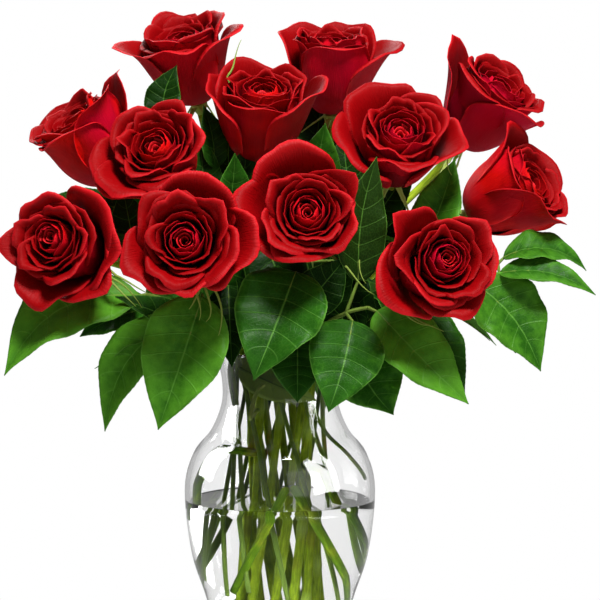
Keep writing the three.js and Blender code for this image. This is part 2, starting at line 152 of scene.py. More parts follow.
def colour(code):
    # the linear colour of a colour picker's sRGB code
    parts = [int(code[i:i + 2], 16) / 255 for i in (0, 2, 4)]
    return tuple(c / 12.92 if c <= 0.04045 else ((c + 0.055) / 1.055) ** 2.4 for c in parts) + (1,)


def newMaterial(name):
    material = bpy.data.materials.new(name)
    material.use_nodes = True
    material.node_tree.nodes.clear()
    return material, Wire(material.node_tree)


# Meshes from whole arrays. A sheet is a set of points with its faces and the values it carries.


def gridQuads(rows, columns, wrap=False):
    # the four corners of each square between neighbouring rows and columns
    squares = columns if wrap else columns - 1
    row, column = np.meshgrid(np.arange(rows - 1), np.arange(squares), indexing="ij")
    nextColumn = (column + 1) % columns
    corners = [row * columns + column, row * columns + nextColumn,
               (row + 1) * columns + nextColumn, (row + 1) * columns + column]
    return np.stack(corners, -1).reshape(-1, 4)


def shellSheet(points, values, thickness):
    # The grid twice, half the thickness to each side along its own normals, closed by a rim. The
    # value `back` is 0 on the side that its columns crossed with its rows face, and 1 on the other.
    rows, columns = points.shape[:2]
    normal = np.cross(np.gradient(points, axis=1), np.gradient(points, axis=0))
    normal /= np.linalg.norm(normal, axis=-1, keepdims=True) + 1e-15
    half = 0.5 * thickness * normal
    both = np.concatenate([(points + half).reshape(-1, 3), (points - half).reshape(-1, 3)])
    quads = gridQuads(rows, columns)
    count = rows * columns
    at = np.arange(count).reshape(rows, columns)
    edge = np.concatenate([at[0, :-1], at[:-1, -1], at[-1, :0:-1], at[:0:-1, 0]])
    following = np.roll(edge, -1)
    rim = np.stack([edge + count, following + count, following, edge], -1)
    carried = {}
    for key, value in values.items():
        carried[key] = np.tile(np.broadcast_to(value, (rows, columns)).ravel(), 2)
    carried["back"] = np.repeat([0.0, 1.0], count)
    return {"points": both, "faces": [quads, quads[:, ::-1] + count, rim], "values": carried}


def lengths(path):
    # how far along the path each of its points is
    return np.concatenate([[0], np.cumsum(np.linalg.norm(np.diff(path, axis=0), axis=1))])


def tubeSheet(path, radii, sides, values=None):
    # a ring of points round each point of the path, square to it, and one face on each end
    path = np.asarray(path, float)
    radii = np.broadcast_to(radii, len(path))
    tangent = np.gradient(path, axis=0)
    tangent /= np.linalg.norm(tangent, axis=1, keepdims=True)
    flatness = np.linalg.svd(path - path.mean(0))[2][2]
    side = np.cross(tangent, flatness)
    side /= np.linalg.norm(side, axis=1, keepdims=True)
    other = np.cross(tangent, side)
    angle = np.linspace(0, 2 * np.pi, sides, endpoint=False)[None, :, None]
    ring = np.cos(angle) * side[:, None] + np.sin(angle) * other[:, None]
    points = (path[:, None] + ring * radii[:, None, None]).reshape(-1, 3)
    around = np.arange(sides)
    last = (len(path) - 1) * sides
    faces = [gridQuads(len(path), sides, wrap=True), around[::-1][None], (last + around)[None]]
    carried = {"along": np.repeat(lengths(path), sides), "across": np.tile(around / sides, len(path))}
    for key, value in (values or {}).items():
        carried[key] = np.repeat(np.broadcast_to(value, len(path)), sides)
    return {"points": points, "faces": faces, "values": carried}


def turnedSheet(outline, sides):
    # an outline of [radius, height] from the axis and back to it, turned round Z
    radius, height = np.asarray(outline, float).T
    angle = np.linspace(0, 2 * np.pi, sides, endpoint=False)
    ring = np.stack([np.outer(radius[1:-1], np.cos(angle)), np.outer(radius[1:-1], np.sin(angle)),
                     np.repeat(height[1:-1, None], sides, 1)], -1).reshape(-1, 3)
    rows = len(radius) - 2
    ends = [[0, 0, height[0]], [0, 0, height[-1]]]
    points = np.concatenate([ring, ends])
    around = np.arange(sides)
    following = (around + 1) % sides
    first = np.stack([np.full(sides, rows * sides), following, around], -1)
    top = (rows - 1) * sides
    last = np.stack([np.full(sides, rows * sides + 1), top + around, top + following], -1)
    return {"points": points, "faces": [gridQuads(rows, sides, wrap=True), first, last], "values": {}}


def moved(sheet, rows, origin):
    # the sheet's points as multiples of three directions from an origin
    sheet["points"] = np.asarray(origin) + sheet["points"] @ np.asarray(rows)
    return sheet


def makePiece(name, sheets, material, replaced):
    # all the sheets in one mesh at the origin, riding on the one body
    starts = np.cumsum([0] + [len(s["points"]) for s in sheets])
    points = np.concatenate([s["points"] for s in sheets])
    faces = [f + start for s, start in zip(sheets, starts) for f in s["faces"]]
    loops = np.concatenate([f.ravel() for f in faces])
    totals = np.concatenate([np.full(len(f), f.shape[1]) for f in faces])
    mesh = bpy.data.meshes.new(name)
    mesh.vertices.add(len(points))
    mesh.vertices.foreach_set("co", points.astype(np.float32).ravel())
    mesh.loops.add(len(loops))
    mesh.loops.foreach_set("vertex_index", loops.astype(np.int32))
    mesh.polygons.add(len(totals))
    mesh.polygons.foreach_set("loop_start", (np.cumsum(totals) - totals).astype(np.int32))
    mesh.polygons.foreach_set("use_smooth", np.ones(len(totals), bool))
    mesh.update(calc_edges=True)
    carried = {}
    for key in sorted(set().union(*[s["values"].keys() for s in sheets])):
        carried[key] = np.concatenate([s["values"].get(key, np.zeros(len(s["points"]))) for s in sheets])
        values = mesh.attributes.new(key, "FLOAT", "POINT").data
        values.foreach_set("value", carried[key].astype(np.float32))
    if "across" in carried and "along" in carried:
        uv = np.stack([carried["across"], carried["along"]], -1)[loops]
        mesh.uv_layers.new(name="sheetMap").data.foreach_set("uv", uv.astype(np.float32).ravel())
    mesh.validate()
    mesh.materials.append(material)
    piece = bpy.data.objects.new(name, mesh)
    scene.collection.objects.link(piece)
    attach(piece, "root")
    if replaced:
        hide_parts(replaced)


def unit(vector):
    vector = np.asarray(vector, float)
    return vector / np.linalg.norm(vector)


def turnedFrame(axis):
    # three directions square to each other, the last along the axis: the shortest turn of X, Y and Z
    turn = Vector((0, 0, 1)).rotation_difference(Vector(unit(axis))).to_matrix()
    return np.array(turn).T


def smoothStep(value):
    value = np.clip(value, 0, 1)
    return value * value * (3 - 2 * value)


def between(ends, share):
    # the first end where the share is 0, the second where it is 1
    return ends[0] + (ends[1] - ends[0]) * share


def bezier(controls, share):
    # the point of a Bezier curve of any degree at each share of its way
    degree = len(controls) - 1
    weights = [math.comb(degree, k) * (1 - share) ** (degree - k) * share ** k for k in range(degree + 1)]
    return sum(weight[..., None] * np.asarray(point, float) for weight, point in zip(weights, controls))


# The roses. Each one: the middle of its open rim, the way it faces, how far its outer petals flare,
# its size, its turn about its own axis, where its stem passes the vase's neck, how crimson it is,
# the habits of its outer petals, and how far its heart is off the middle where it is.
roseColumns = ("rim", "faces", "flare", "size", "roll", "neckAngle", "blush", "outer", "heart")
roseRows = [
    ((-0.069, 0.050, 0.466), (-0.22, -0.36, 0.91), 0.046, 1.04, 190, 128, 0.4,
     "pointed rolled standing wrapping hugging"),
    ((0.037, 0.055, 0.463), (0.02, -0.27, 0.96), 0.041, 1.08, 350, 72, 0.6,
     "drooping rolled wrapping rolled hugging"),
    ((0.155, 0.040, 0.431), (0.55, -0.37, 0.75), 0.043, 1.1, 160, 40, 1.0,
     "spiked rolled hugging flopped hugging"),
    ((-0.144, 0.020, 0.408), (-0.57, -0.3, 0.76), 0.043, 1.08, 30, 153, 0,
     "spiked hugging pointed rolled wrapping"),
    ((-0.083, -0.045, 0.391), (-0.2, -0.8, 0.56), 0.044, 1.0, 200, 178, 0,
     "flopped hugging hugging rolled rolled sweeping"),
    ((-0.011, -0.005, 0.428), (0.06, -0.5, 0.86), 0.039, 1.1, 190, 100, 0.1,
     "rolled sweeping rolled wrapping rolled"),
    ((0.082, -0.035, 0.401), (0.1, -0.76, 0.64), 0.043, 1.04, 200, 15, 0.65,
     "flopped rolled flopped rolled rolled"),
    ((0.174, 0.000, 0.366), (0.78, -0.42, 0.46), 0.041, 1.1, 8, -10, 0,
     "hugging rolled pointed rolled wrapping"),
    ((-0.146, -0.075, 0.323), (-0.4, -0.9, 0.16), 0.046, 1.0, 300, 203, 0.1,
     "rolled hugging rolled sweeping pointed sweeping", (-0.0064, 0, 0.0086)),
    ((-0.060, -0.120, 0.331), (-0.05, -0.97, 0.22), 0.048, 1.04, 280, 235, 0.4,
     "hugging rolled rolled sweeping rolled"),
    ((0.019, -0.100, 0.349), (0.03, -0.93, 0.35), 0.045, 1.02, 185, 278, 0.3,
     "sweeping hugging sweeping rolled pointed"),
    ((0.105, -0.105, 0.315), (0.26, -0.93, 0.2), 0.048, 1.02, 225, 320, 0.7,
     "rolled hugging pointed rolled hugging", (0.0055, 0, 0.0040)),
]
roses = [dict(zip(roseColumns, row)) for row in roseRows]

# How an outer petal lies: how much its upper corners are cut back and how sharply, how many degrees
# its lip and its corners roll over and the whole leans outwards, how far its side edges lift, how
# much longer than the solid's petal it grows, and the innermost layer that it may lie in
habitColumns = ("corner", "point", "roll", "cornerRoll", "lean", "lift", "longer", "leastLayer")
habitRows = {
    "rolled": (0.25, 1.22, 44, 110, -6, 0.0016, 0.09, 0),
    "pointed": (0.34, 1.15, 5, 150, -8, 0.0034, 0.20, 0),
    "flopped": (0.20, 1.30, 55, 80, 4, 0.0006, 0.11, 0),
    "hugging": (0.17, 1.35, 55, 80, -30, 0.0010, 0.06, 0),
    "standing": (0.16, 1.50, 50, 60, -42, 0.0010, 0.16, 0),
    "wrapping": (0.19, 1.35, 60, 80, -22, 0.0004, 0.05, 1.03),
    "sweeping": (0.25, 1.20, 35, 120, -4, 0.0012, 0.24, 0.98),
    "drooping": (0.18, 1.40, 95, 20, 14, 0.0006, 0.08, 1.0),
    "spiked": (0.55, 0.82, 0, 90, 6, 0.0030, 0.22, 1.0),
}
petalHabits = {name: dict(zip(habitColumns, row)) for name, row in habitRows.items()}

bloomShape = {
    "cupHeight": 0.050, "thickness": 0.00045, "rimThickness": 0.0003,
    "outerTurns": (0, 144, 288, 72, 216, 36), "outerSpread": 60, "outerGrid": (26, 24),
    "middleTurns": (36, 180, 324, 108, 252), "middleLayers": (0.86, 0.66), "middleGrid": (20, 18),
    "innerCount": 20, "innerTurn": 137.5, "innerStart": 36, "innerGrid": (14, 14),
    "innerLayers": (0.62, 0.10), "heartDrop": 0.016, "twist": 9, "fuller": 1.03,
    "growth": (0.049, 0.008), "leastGrowth": 0.1, "notch": 0.028, "creases": 13, "crease": 0.0008,
    "heartTurns": 2.7, "heartRadius": (0.0005, 0.0052), "heartFoot": 0.010, "heartHeight": 0.0320,
}


def petalProfile(layer, flare):
    # control points of a Bezier curve from foot to lip, [distance from the axis, height], in metres
    lip = layer * layer * (3 - 2 * layer)
    points = [
        [2 + 5 * layer, 3 - layer],
        [4 + 15 * layer, 9 - 8 * layer],
        [7 + 20 * layer, 28 - 6 * layer],
        [7 + 23 * layer, 50 - 2 * layer],
        [4 + (flare * 1000 - 4) * lip, 52 - 5 * layer * layer],
    ]
    return np.array(points) / 1000


def petalSheet(petal, flare, grid):
    # The Bezier profile of the petal's layer is walked from foot to lip in small steps. Every step
    # turns outwards by the petal's lean, and by a roll that grows with the 1.33rd power towards the
    # lip and with the distance from the petal's middle. The walked profile is swept round the axis
    # over the petal's width. Two sines of the distance across notch the lip, one waves it in and
    # out, and one creases the face. The side edges lift away from the axis, and the whole twists as
    # it rises.
    rows, columns = grid
    across = np.sin(np.linspace(-0.5, 0.5, columns + 1) * np.pi)[None, :]
    up = 1 - (1 - np.linspace(0, 1, rows + 1)[:, None]) ** 1.5
    side = np.abs(across)
    shoulder = petal["round"] * (1 - np.sqrt(1 - np.minimum(side, 0.9999) ** 5))
    notch = bloomShape["notch"] * np.sin(8 * across + 2 * petal["phase"])
    notch = notch * np.sin(3.1 * across + petal["phase"])
    reach = 1 - (petal["corner"] * side ** petal["point"] + shoulder + notch) * (0.3 + 0.7 * up)
    profile = bezier(petalProfile(petal["layer"], flare), 0.08 + 0.92 * up * reach)
    step = np.diff(profile, axis=0)
    stride = np.hypot(step[..., 0], step[..., 1]) * (1 + petal["longer"] * 2 * up[1:])
    near = np.clip((up[1:] - petal["rollFrom"]) / (1 - petal["rollFrom"]), 0, 1)
    wave = np.sin(petal["waves"] * across + petal["phase"])
    roll = (petal["roll"] + petal["cornerRoll"] * side ** 2.2) * (1 + 0.3 * wave)
    angle = np.arctan2(step[..., 0], step[..., 1]) + np.radians(roll) * near ** 1.33
    angle = np.minimum(angle + np.radians(petal["lean"]) * smoothStep(up[1:] * 1.3 - 0.25), 3.7)
    foot = np.zeros_like(across)
    radius = profile[0, :, 0] + np.concatenate([foot, np.cumsum(stride * np.sin(angle), axis=0)])
    height = profile[0, :, 1] + np.concatenate([foot, np.cumsum(stride * np.cos(angle), axis=0)])
    ripple = petal["ruffle"] * up ** 3
    radius = radius + ripple * wave + petal["tilt"] * across * up
    crease = np.sin(bloomShape["creases"] * across * (1.1 - 0.3 * up) + 5 * petal["phase"])
    radius = radius + bloomShape["crease"] * crease * up ** 2 * (0.4 + 0.6 * petal["layer"])
    radius = radius + petal["lift"] * smoothStep((side - 0.55) / 0.45) * smoothStep(up * 1.6 - 0.3)
    height = height + 0.8 * ripple * np.sin(1.4 * petal["waves"] * across - 1.7 * petal["phase"])
    height = height - petal["drop"] * up
    spread = petal["spread"] * (0.8 + 0.2 * smoothStep(up / 0.6))
    turn = np.radians(petal["turn"] + across * spread + petal["twist"] * up)
    points = np.stack([radius * np.cos(turn), radius * np.sin(turn), height], -1)
    # near the lip and the side edges: the petal is thinner there and its colour takes a painted highlight
    edge = np.maximum(up ** 6, smoothStep((side - 0.86) / 0.14) * smoothStep(up * 2))
    # painted shade: the petal darker towards its foot, where the petals shade each other
    paintedLight = petal["paintedFootShade"] * up ** petal["paintedLightPower"] + (1 - petal["paintedFootShade"])
    values = {
        "along": up, "across": across * 0.5 + 0.5, "edge": edge * petal["layer"] ** 0.4, "paintedLight": paintedLight,
        "toneAndPaintedLight": petal["toneAndPaintedLight"],
    }
    thickness = between((bloomShape["thickness"], bloomShape["rimThickness"]), edge)
    return shellSheet(points, values, thickness[..., None])


def heartSheet():
    # The bud at the heart: one sheet rolled up as a spiral, whose radius grows in proportion to its
    # turn. Its top edge is lowest in the middle and rolls slightly outwards.
    turns = np.linspace(0, 1, 76)[None, :]
    up = np.linspace(0, 1, 9)[:, None]
    angle = 2 * np.pi * bloomShape["heartTurns"] * turns
    least, growth = bloomShape["heartRadius"]
    radius = (least + growth * turns) * (0.75 + 0.25 * up) + 0.0011 * up ** 6
    rise = bloomShape["heartHeight"] + 0.0035 * turns + 0.0010 * np.sin(3 * angle)
    height = bloomShape["heartFoot"] + up * rise
    points = np.stack([radius * np.cos(angle), radius * np.sin(angle), height], -1)
    # painted shade deep down in the bud, and a painted highlight along its top edge
    values = {"along": up, "across": turns, "edge": up ** 8, "paintedLight": up ** 5, "toneAndPaintedLight": 0.45}
    return shellSheet(points, values, bloomShape["thickness"])


def bloomPetals(habits, growth):
    # five broad outer petals in the directions of the solid's, and a sixth where it is named, then
    # five middle ones between them, and then the inner ones, each a golden turn on from the last
    # and one layer further in
    # how far each petal darkens at its foot, and how fast, sets its painted shade
    petals = []
    for i, name in enumerate(habits):
        draw = rng.uniform(0, 1, 6)
        habit = petalHabits[name]
        turn = bloomShape["outerTurns"][i]
        petals.append(habit | {
            "longer": habit["longer"] * growth, "layer": max(1 - 0.08 * i, habit["leastLayer"]),
            "turn": turn + 10 * (draw[0] - 0.5), "spread": bloomShape["outerSpread"],
            "rollFrom": 0.89 + 0.05 * draw[1], "ruffle": 0.0010 + 0.0010 * draw[2],
            "waves": 3.5 + 3 * draw[3], "phase": 6.28 * draw[4], "tilt": 0.0008, "twist": 0,
            "drop": 0, "toneAndPaintedLight": draw[5], "round": 0.26, "paintedFootShade": 0.5, "paintedLightPower": 1.2,
            "grid": bloomShape["outerGrid"],
        })
    last = len(bloomShape["middleTurns"]) - 1
    for i, turn in enumerate(bloomShape["middleTurns"]):
        draw = rng.uniform(0, 1, 7)
        petals.append({
            "layer": between(bloomShape["middleLayers"], i / last), "turn": turn + 16 * (draw[0] - 0.5),
            "spread": 56, "corner": 0.14 + 0.14 * draw[1], "point": 1.2 + 0.6 * draw[2], "round": 0.24,
            "roll": 30 + 40 * draw[3], "cornerRoll": 60 + 60 * draw[4], "rollFrom": 0.925,
            "lean": -24 - 22 * draw[1], "lift": 0.0012, "longer": 0.04, "ruffle": 0.0014,
            "waves": 3 + 3 * draw[5], "phase": 6.28 * draw[6], "tilt": 0.0008, "twist": 4, "drop": 0,
            "toneAndPaintedLight": draw[2], "paintedFootShade": 0.9, "paintedLightPower": 2.2, "grid": bloomShape["middleGrid"],
        })
    count = bloomShape["innerCount"]
    for i in range(count):
        draw = rng.uniform(0, 1, 7)
        share = i / (count - 1)
        layer = between(bloomShape["innerLayers"], share)
        petals.append({
            "layer": layer, "turn": bloomShape["innerStart"] + bloomShape["innerTurn"] * i + 16 * draw[0],
            "spread": 56 + 40 * share, "corner": 0.08 + 0.16 * draw[1], "point": 1.1 + draw[2],
            "roll": 8 + 30 * layer + 60 * draw[3] * layer, "cornerRoll": 90 * draw[4] * layer,
            "rollFrom": 0.92, "lean": -16 * layer * draw[5], "longer": 0, "lift": 0.0006 * layer,
            "ruffle": 0.0011 * layer + 0.0002, "waves": 3 + 2 * draw[5], "phase": 6.28 * draw[6],
            "drop": bloomShape["heartDrop"] * max(0, 0.34 - layer) + 0.002 * draw[6] * layer,
            "tilt": 0.0007, "twist": bloomShape["twist"], "toneAndPaintedLight": draw[2], "round": 0.16,
            "paintedFootShade": 1, "paintedLightPower": 4, "grid": bloomShape["innerGrid"],
        })
    return petals


# the darkest colour is the painted shade at the foot of the petals
petalLook = {
    # the lip colour is a painted highlight towards the lip, the rim colour a paler painted highlight on the
    # rim
    "paintedShade": "0c0000", "back": "820104", "face": "920204", "lip": "e20e06", "pink": "cc0634",
    "rim": "e4202a", "sheen": "ff2a5c", "roughness": 0.5, "veins": 0.5,
}


def petalMaterial():
    # fine veins along the petal over soft clouds, crimson in patches, with painted shade down at the
    # foot and a painted highlight towards the lip and on the rim
    look = petalLook
    material, wire = newMaterial("velvetPetal")
    edge = wire.attribute("edge")
    place = wire.place()
    veins = wire.sheetMap().stretch((34, 2.2, 1)).noise(3.0, 3.0)
    cloud = place.noise(55.0, 2.0)
    drift = place.noise(24.0, 1.0)
    # the edge term is a painted highlight, lighter towards the lip as where light shines through; the
    # clouds, the random tone and the veins are the petal's own variation
    bright = edge * 0.5 + (cloud - 0.5) * 1.3 + (wire.attribute("toneAndPaintedLight") - 0.5) * 0.5
    bright = bright + (veins - 0.5) * look["veins"]
    front = bright.ramp(-0.25, 0.65).mix(colour(look["face"]), colour(look["lip"]))
    crimson = (drift.ramp(0.45, 0.7) * 0.5).max(wire.attribute("blush") * (0.45 + drift * 0.5))
    front = crimson.mix(front, colour(look["pink"]))
    body = wire.attribute("back").mix(front, colour(look["back"]))
    # painted shade: the colour goes to the darkest one towards the foot of the petal
    lit = wire.attribute("paintedLight").ramp(0.0, 0.55).mix(colour(look["paintedShade"]), body)
    inputs = {
        # a paler painted highlight right at the rim
        "Base Color": (edge.ramp(0.7, 1.0) * 0.5).mix(lit, colour(look["rim"])),
        "Roughness": look["roughness"] + (veins - 0.5) * 0.2,
        "Specular IOR Level": 0.08,
        "Sheen Weight": 0.02,
        "Sheen Roughness": 0.35,
        "Sheen Tint": colour(look["sheen"]),
        "Normal": veins.bump(0.6, 0.0011),
    }
    wire.node("ShaderNodeBsdfPrincipled", None, inputs).finish()
    return material


def roseFrame(rose):
    # the flower's own directions, rolled about its axis, and the middle of its foot
    basis = turnedFrame(rose["faces"])
    roll = math.radians(rose["roll"])
    across = basis[0] * math.cos(roll) + basis[1] * math.sin(roll)
    aside = basis[1] * math.cos(roll) - basis[0] * math.sin(roll)
    base = np.array(rose["rim"]) - basis[2] * bloomShape["cupHeight"] * rose["size"]
    return np.array([across, aside, basis[2]]), base


def makeBlooms():
    velvet = petalMaterial()
    for number, rose in enumerate(roses, 1):
        directions, base = roseFrame(rose)
        flare = rose["flare"] / rose["size"] * bloomShape["fuller"]
        # a rose whose lip flares less in the solid grows longer outer petals
        most, span = bloomShape["growth"]
        growth = min(1, max(bloomShape["leastGrowth"], (most - rose["flare"]) / span))
        petals = bloomPetals(rose["outer"].split(), growth)
        sheets = [petalSheet(petal, flare, petal["grid"]) for petal in petals] + [heartSheet()]
        sheets = [moved(sheet, directions * rose["size"], base) for sheet in sheets]
        # the further in a petal stands, the more it follows the heart off the middle
        layers = [petal["layer"] for petal in petals] + [0]
        heart = np.array(rose.get("heart", (0, 0, 0)))
        for sheet, layer in zip(sheets, layers):
            sheet["points"] = sheet["points"] + heart * max(0, 1 - layer)
            sheet["values"]["blush"] = np.full(len(sheet["points"]), float(rose["blush"]))
        makePiece(f"rosePetals_{number:02d}", sheets, velvet, f"rose_bloom_{number:02d}")


makeBlooms()
print("blooms made:", len(roses))

# The glass vase and its water
vase = {
    "knots": [
        (0.0390, 0.003), (0.0372, 0.020), (0.0400, 0.042), (0.0503, 0.080), (0.0605, 0.112),
        (0.0650, 0.155), (0.0588, 0.180), (0.0469, 0.1955), (0.0399, 0.213), (0.0393, 0.228),
        (0.0420, 0.241), (0.0470, 0.250),
    ],
    "steps": 6, "wall": 0.0032, "floor": 0.011, "floorCorner": (0.0040, 0.006), "footRadius": 0.0365,
    "rimHeight": 0.55, "waterLevel": 0.148, "intoGlass": 0.00015, "meniscus": (0.0008, 0.0004),
    "sides": 128, "glassBending": 1.46, "waterBending": 1.33, "shadow": "f5f8f6",
}


def throughKnots(knots, steps):
    # a uniform Catmull-Rom curve: every stretch a cubic whose end slopes join the knots on both sides
    knots = np.asarray(knots, float)
    slopes = np.empty_like(knots)
    slopes[1:-1] = (knots[2:] - knots[:-2]) / 2
    slopes[0] = (knots[1] - knots[0]) / 2
    slopes[-1] = (knots[-1] - knots[-2]) / 2
    t = np.linspace(0, 1, steps + 1)[:-1][None, :, None]
    start, end = knots[:-1, None], knots[1:, None]
    leave, arrive = slopes[:-1, None], slopes[1:, None]
    curve = ((2 * start - 2 * end + leave + arrive) * t ** 3
             + (3 * end - 3 * start - 2 * leave - arrive) * t ** 2 + leave * t + start)
    return np.concatenate([curve.reshape(-1, knots.shape[1]), knots[-1:]])


outerWall = throughKnots(vase["knots"], vase["steps"])
innerWall = outerWall[outerWall[:, 1] > vase["floor"] + vase["floorCorner"][1]] - [vase["wall"], 0]
floorEdge = np.array([innerWall[0, 0] - vase["floorCorner"][0], vase["floor"]])


def insideRadius(height):
    # how far the inner wall is from the axis at a height
    return np.interp(height, innerWall[:, 1], innerWall[:, 0])


def quarterTurn(start, corner, end, steps):
    # a rounded corner: a quadratic Bezier curve between two points
    return bezier([start, corner, end], np.linspace(0, 1, steps))


def insideOutline(offset):
    # from the middle of the vase's floor up its inner wall, moved outwards by the offset
    corner = quarterTurn(floorEdge, (innerWall[0, 0], vase["floor"]), innerWall[0], 10)
    middle = np.linspace(0, 1, 8)[:-1, None] * (floorEdge - [0, vase["floor"]]) + [0, vase["floor"]]
    outline = np.concatenate([middle, corner, innerWall[1:]])
    return outline + np.stack([np.where(outline[:, 0] > 0, offset, 0), np.zeros(len(outline))], -1)


def clearMaterial(name, bending):
    # see-through to shadow rays, so that the light reaches the stems inside
    material, wire = newMaterial(name)
    inputs = {"Base Color": (1, 1, 1, 1), "Roughness": 0.0, "IOR": bending, "Transmission Weight": 1.0}
    clear = wire.node("ShaderNodeBsdfPrincipled", None, inputs)
    through = wire.node("ShaderNodeBsdfTransparent", None, {"Color": colour(vase["shadow"])})
    shadow = wire.node("ShaderNodeLightPath", output="Is Shadow Ray")
    wire.node("ShaderNodeMixShader", None, {0: shadow, 1: clear, 2: through}).finish()
    return material


def makeVase():
    foot, edge = vase["footRadius"], vase["knots"][0]
    base = np.concatenate([[[0, 0], [foot * 0.5, 0]], quarterTurn((foot, 0), (edge[0], 0), edge, 8)])
    # the rim is a flattened half circle over the wall
    angle = np.linspace(0, np.pi, 12)[1:-1]
    half, flat = vase["wall"] / 2, vase["rimHeight"]
    lip = np.array(vase["knots"][-1]) - [half, flat * half]
    rim = lip + half * np.stack([np.cos(angle), flat * np.sin(angle)], -1)
    outline = np.concatenate([base, outerWall[1:-1], rim, insideOutline(0)[:-1][::-1]])
    glass = clearMaterial("clearGlass", vase["glassBending"])
    makePiece("glassVase", [turnedSheet(outline, vase["sides"])], glass, "vase")


def makeWater():
    # the water reaches a little into the glass, and its edge climbs it: the rise falls off as a
    # square from the wall inwards
    wall = insideOutline(vase["intoGlass"])
    wall = wall[wall[:, 1] < vase["waterLevel"]]
    wall[:, 1] = np.where(wall[:, 1] <= vase["floor"], vase["floor"] - vase["intoGlass"], wall[:, 1])
    edge = insideRadius(vase["waterLevel"]) + vase["intoGlass"]
    width, rise = vase["meniscus"]
    share = np.linspace(1, 0, 8)
    film = np.stack([edge - width * (1 - share), vase["waterLevel"] - rise * (1 - share ** 2)], -1)
    flat = [[edge * 0.5, film[-1, 1]], [0, film[-1, 1]]]
    outline = np.concatenate([wall, film, flat])
    water = clearMaterial("water", vase["waterBending"])
    makePiece("vaseWater", [turnedSheet(outline, vase["sides"])], water, "water")


makeVase()
makeWater()
print("vase and water made")

# Greens
roseStemLook = {"dark": "3c5608", "light": "b4ce28", "pale": "b0c66c", "warm": "76681e", "roughness": 0.45}
leafLook = {
    "dark": "0a2404", "face": "22520e", "light": "467c1c", "vein": "5e9438", "back": "3a661a",
    "stalk": "788c3c", "roughness": 0.38,
}


def stemMaterial():
    # streaks along the stem, light to dark, warmer in patches, paler at the nodes and sepals, and
    # darker on the side shoots
    look = roseStemLook
    material, wire = newMaterial("roseGreen")
    streaks = wire.sheetMap().stretch((7, 60, 1)).noise(2.0, 3.0)
    patches = wire.place().noise(45.0, 2.0)
    light = (streaks * 0.7 + patches * 0.5 - wire.attribute("dim") - 0.1).ramp(0.2, 0.8)
    body = light.mix(colour(look["dark"]), colour(look["light"]))
    body = (patches.ramp(0.56, 0.72) * 0.5).mix(body, colour(look["warm"]))
    body = wire.attribute("pale").mix(body, colour(look["pale"]))
    inputs = {
        "Base Color": body,
        "Roughness": look["roughness"],
        "Specular IOR Level": 0.12,
        "Normal": streaks.bump(0.3, 0.0005),
    }
    wire.node("ShaderNodeBsdfPrincipled", None, inputs).finish()
    return material


def leafMaterial():
    # Glossy blades. The side veins lie where 7 along - 0.85 out^1.2 is a whole number, and the rib
    # where the distance from the middle is near nothing. Both are paler than the blade, and the side
    # veins fade towards the tip.
    look = leafLook
    material, wire = newMaterial("salalLeaf")
    sheet = wire.sheetMap()
    along = sheet.part(1)
    out = abs(sheet.part(0) * 2 - 1)
    phase = along * salal["veinCount"] - out ** 1.2 * 0.85
    toVein = abs(wire.math("FRACT", phase + 0.5) - 0.5)
    sideVein = (1 - toVein.ramp(0.008, 0.05)) * (1 - along.ramp(0.70, 0.90))
    rib = 1 - out.ramp(0.005, 0.035)
    net = wire.node("ShaderNodeTexVoronoi", {"feature": "DISTANCE_TO_EDGE"},
                    {"Vector": sheet.stretch((9, 16, 1)), "Scale": 2.0})
    mesh = 1 - net.ramp(0.0, 0.09)
    mottle = wire.place().noise(38.0, 3.0) * 0.5 + wire.place().noise(190.0, 4.0) * 0.7 - 0.7
    # the tone moves the whole blade: a random tone on most leaves, and on given ones painted light for
    # leaves in shade and painted shade for leaves in the light
    blade = out.ramp(0.0, 2.5) + wire.attribute("toneAndPaintedLight") * 0.9 + mottle
    face = blade.mix(colour(look["dark"]), colour(look["face"]))
    face = (blade - 0.75).ramp(0, 0.6).mix(face, colour(look["light"]))
    margin = out.ramp(0.955, 1.0) * 0.6
    veins = margin.max(sideVein * 0.22 + mesh * 0.07).max(rib * 0.5)
    face = veins.mix(face, colour(look["vein"]))
    under = (veins * 0.5).mix(colour(look["back"]), colour(look["vein"]))
    shade = wire.attribute("back").mix(face, under)
    inputs = {
        "Base Color": wire.attribute("pale").mix(shade, colour(look["stalk"])),
        "Roughness": look["roughness"] + wire.attribute("back") * 0.25,
        "Specular IOR Level": 0.06,
        "Normal": (mesh * 0.3 + sideVein).bump(0.5, 0.0004),
    }
    wire.node("ShaderNodeBsdfPrincipled", None, inputs).finish()
    return material


# The stems of the roses, each from the vase's floor past its neck up to the calyx
roseStem = {
    "radius": 0.0028, "footRadius": 0.026, "footTwist": -80, "footHeight": 0.0119,
    "neckRadius": 0.022, "neckHeight": 0.228, "straightShare": 0.42, "noddingShare": 0.36,
    "calyxLength": 0.009, "calyxRadius": 0.006, "intoCalyx": 0.0017, "sepalLength": 0.024,
    "sepalWidth": 0.0046, "sepalRoot": (0.0042, -0.0022), "nodeSwell": 0.0006, "sides": 14,
    "sepals": 5, "sepalHang": 35, "nodeEvery": (0.062, 0.082), "nodeShare": 0.05,
    "shootRoom": 0.0015, "shootTaper": 0.85, "shootDim": 0.3,
}


def polar(radius, degrees, height):
    angle = math.radians(degrees)
    return np.array([radius * math.cos(angle), radius * math.sin(angle), height])


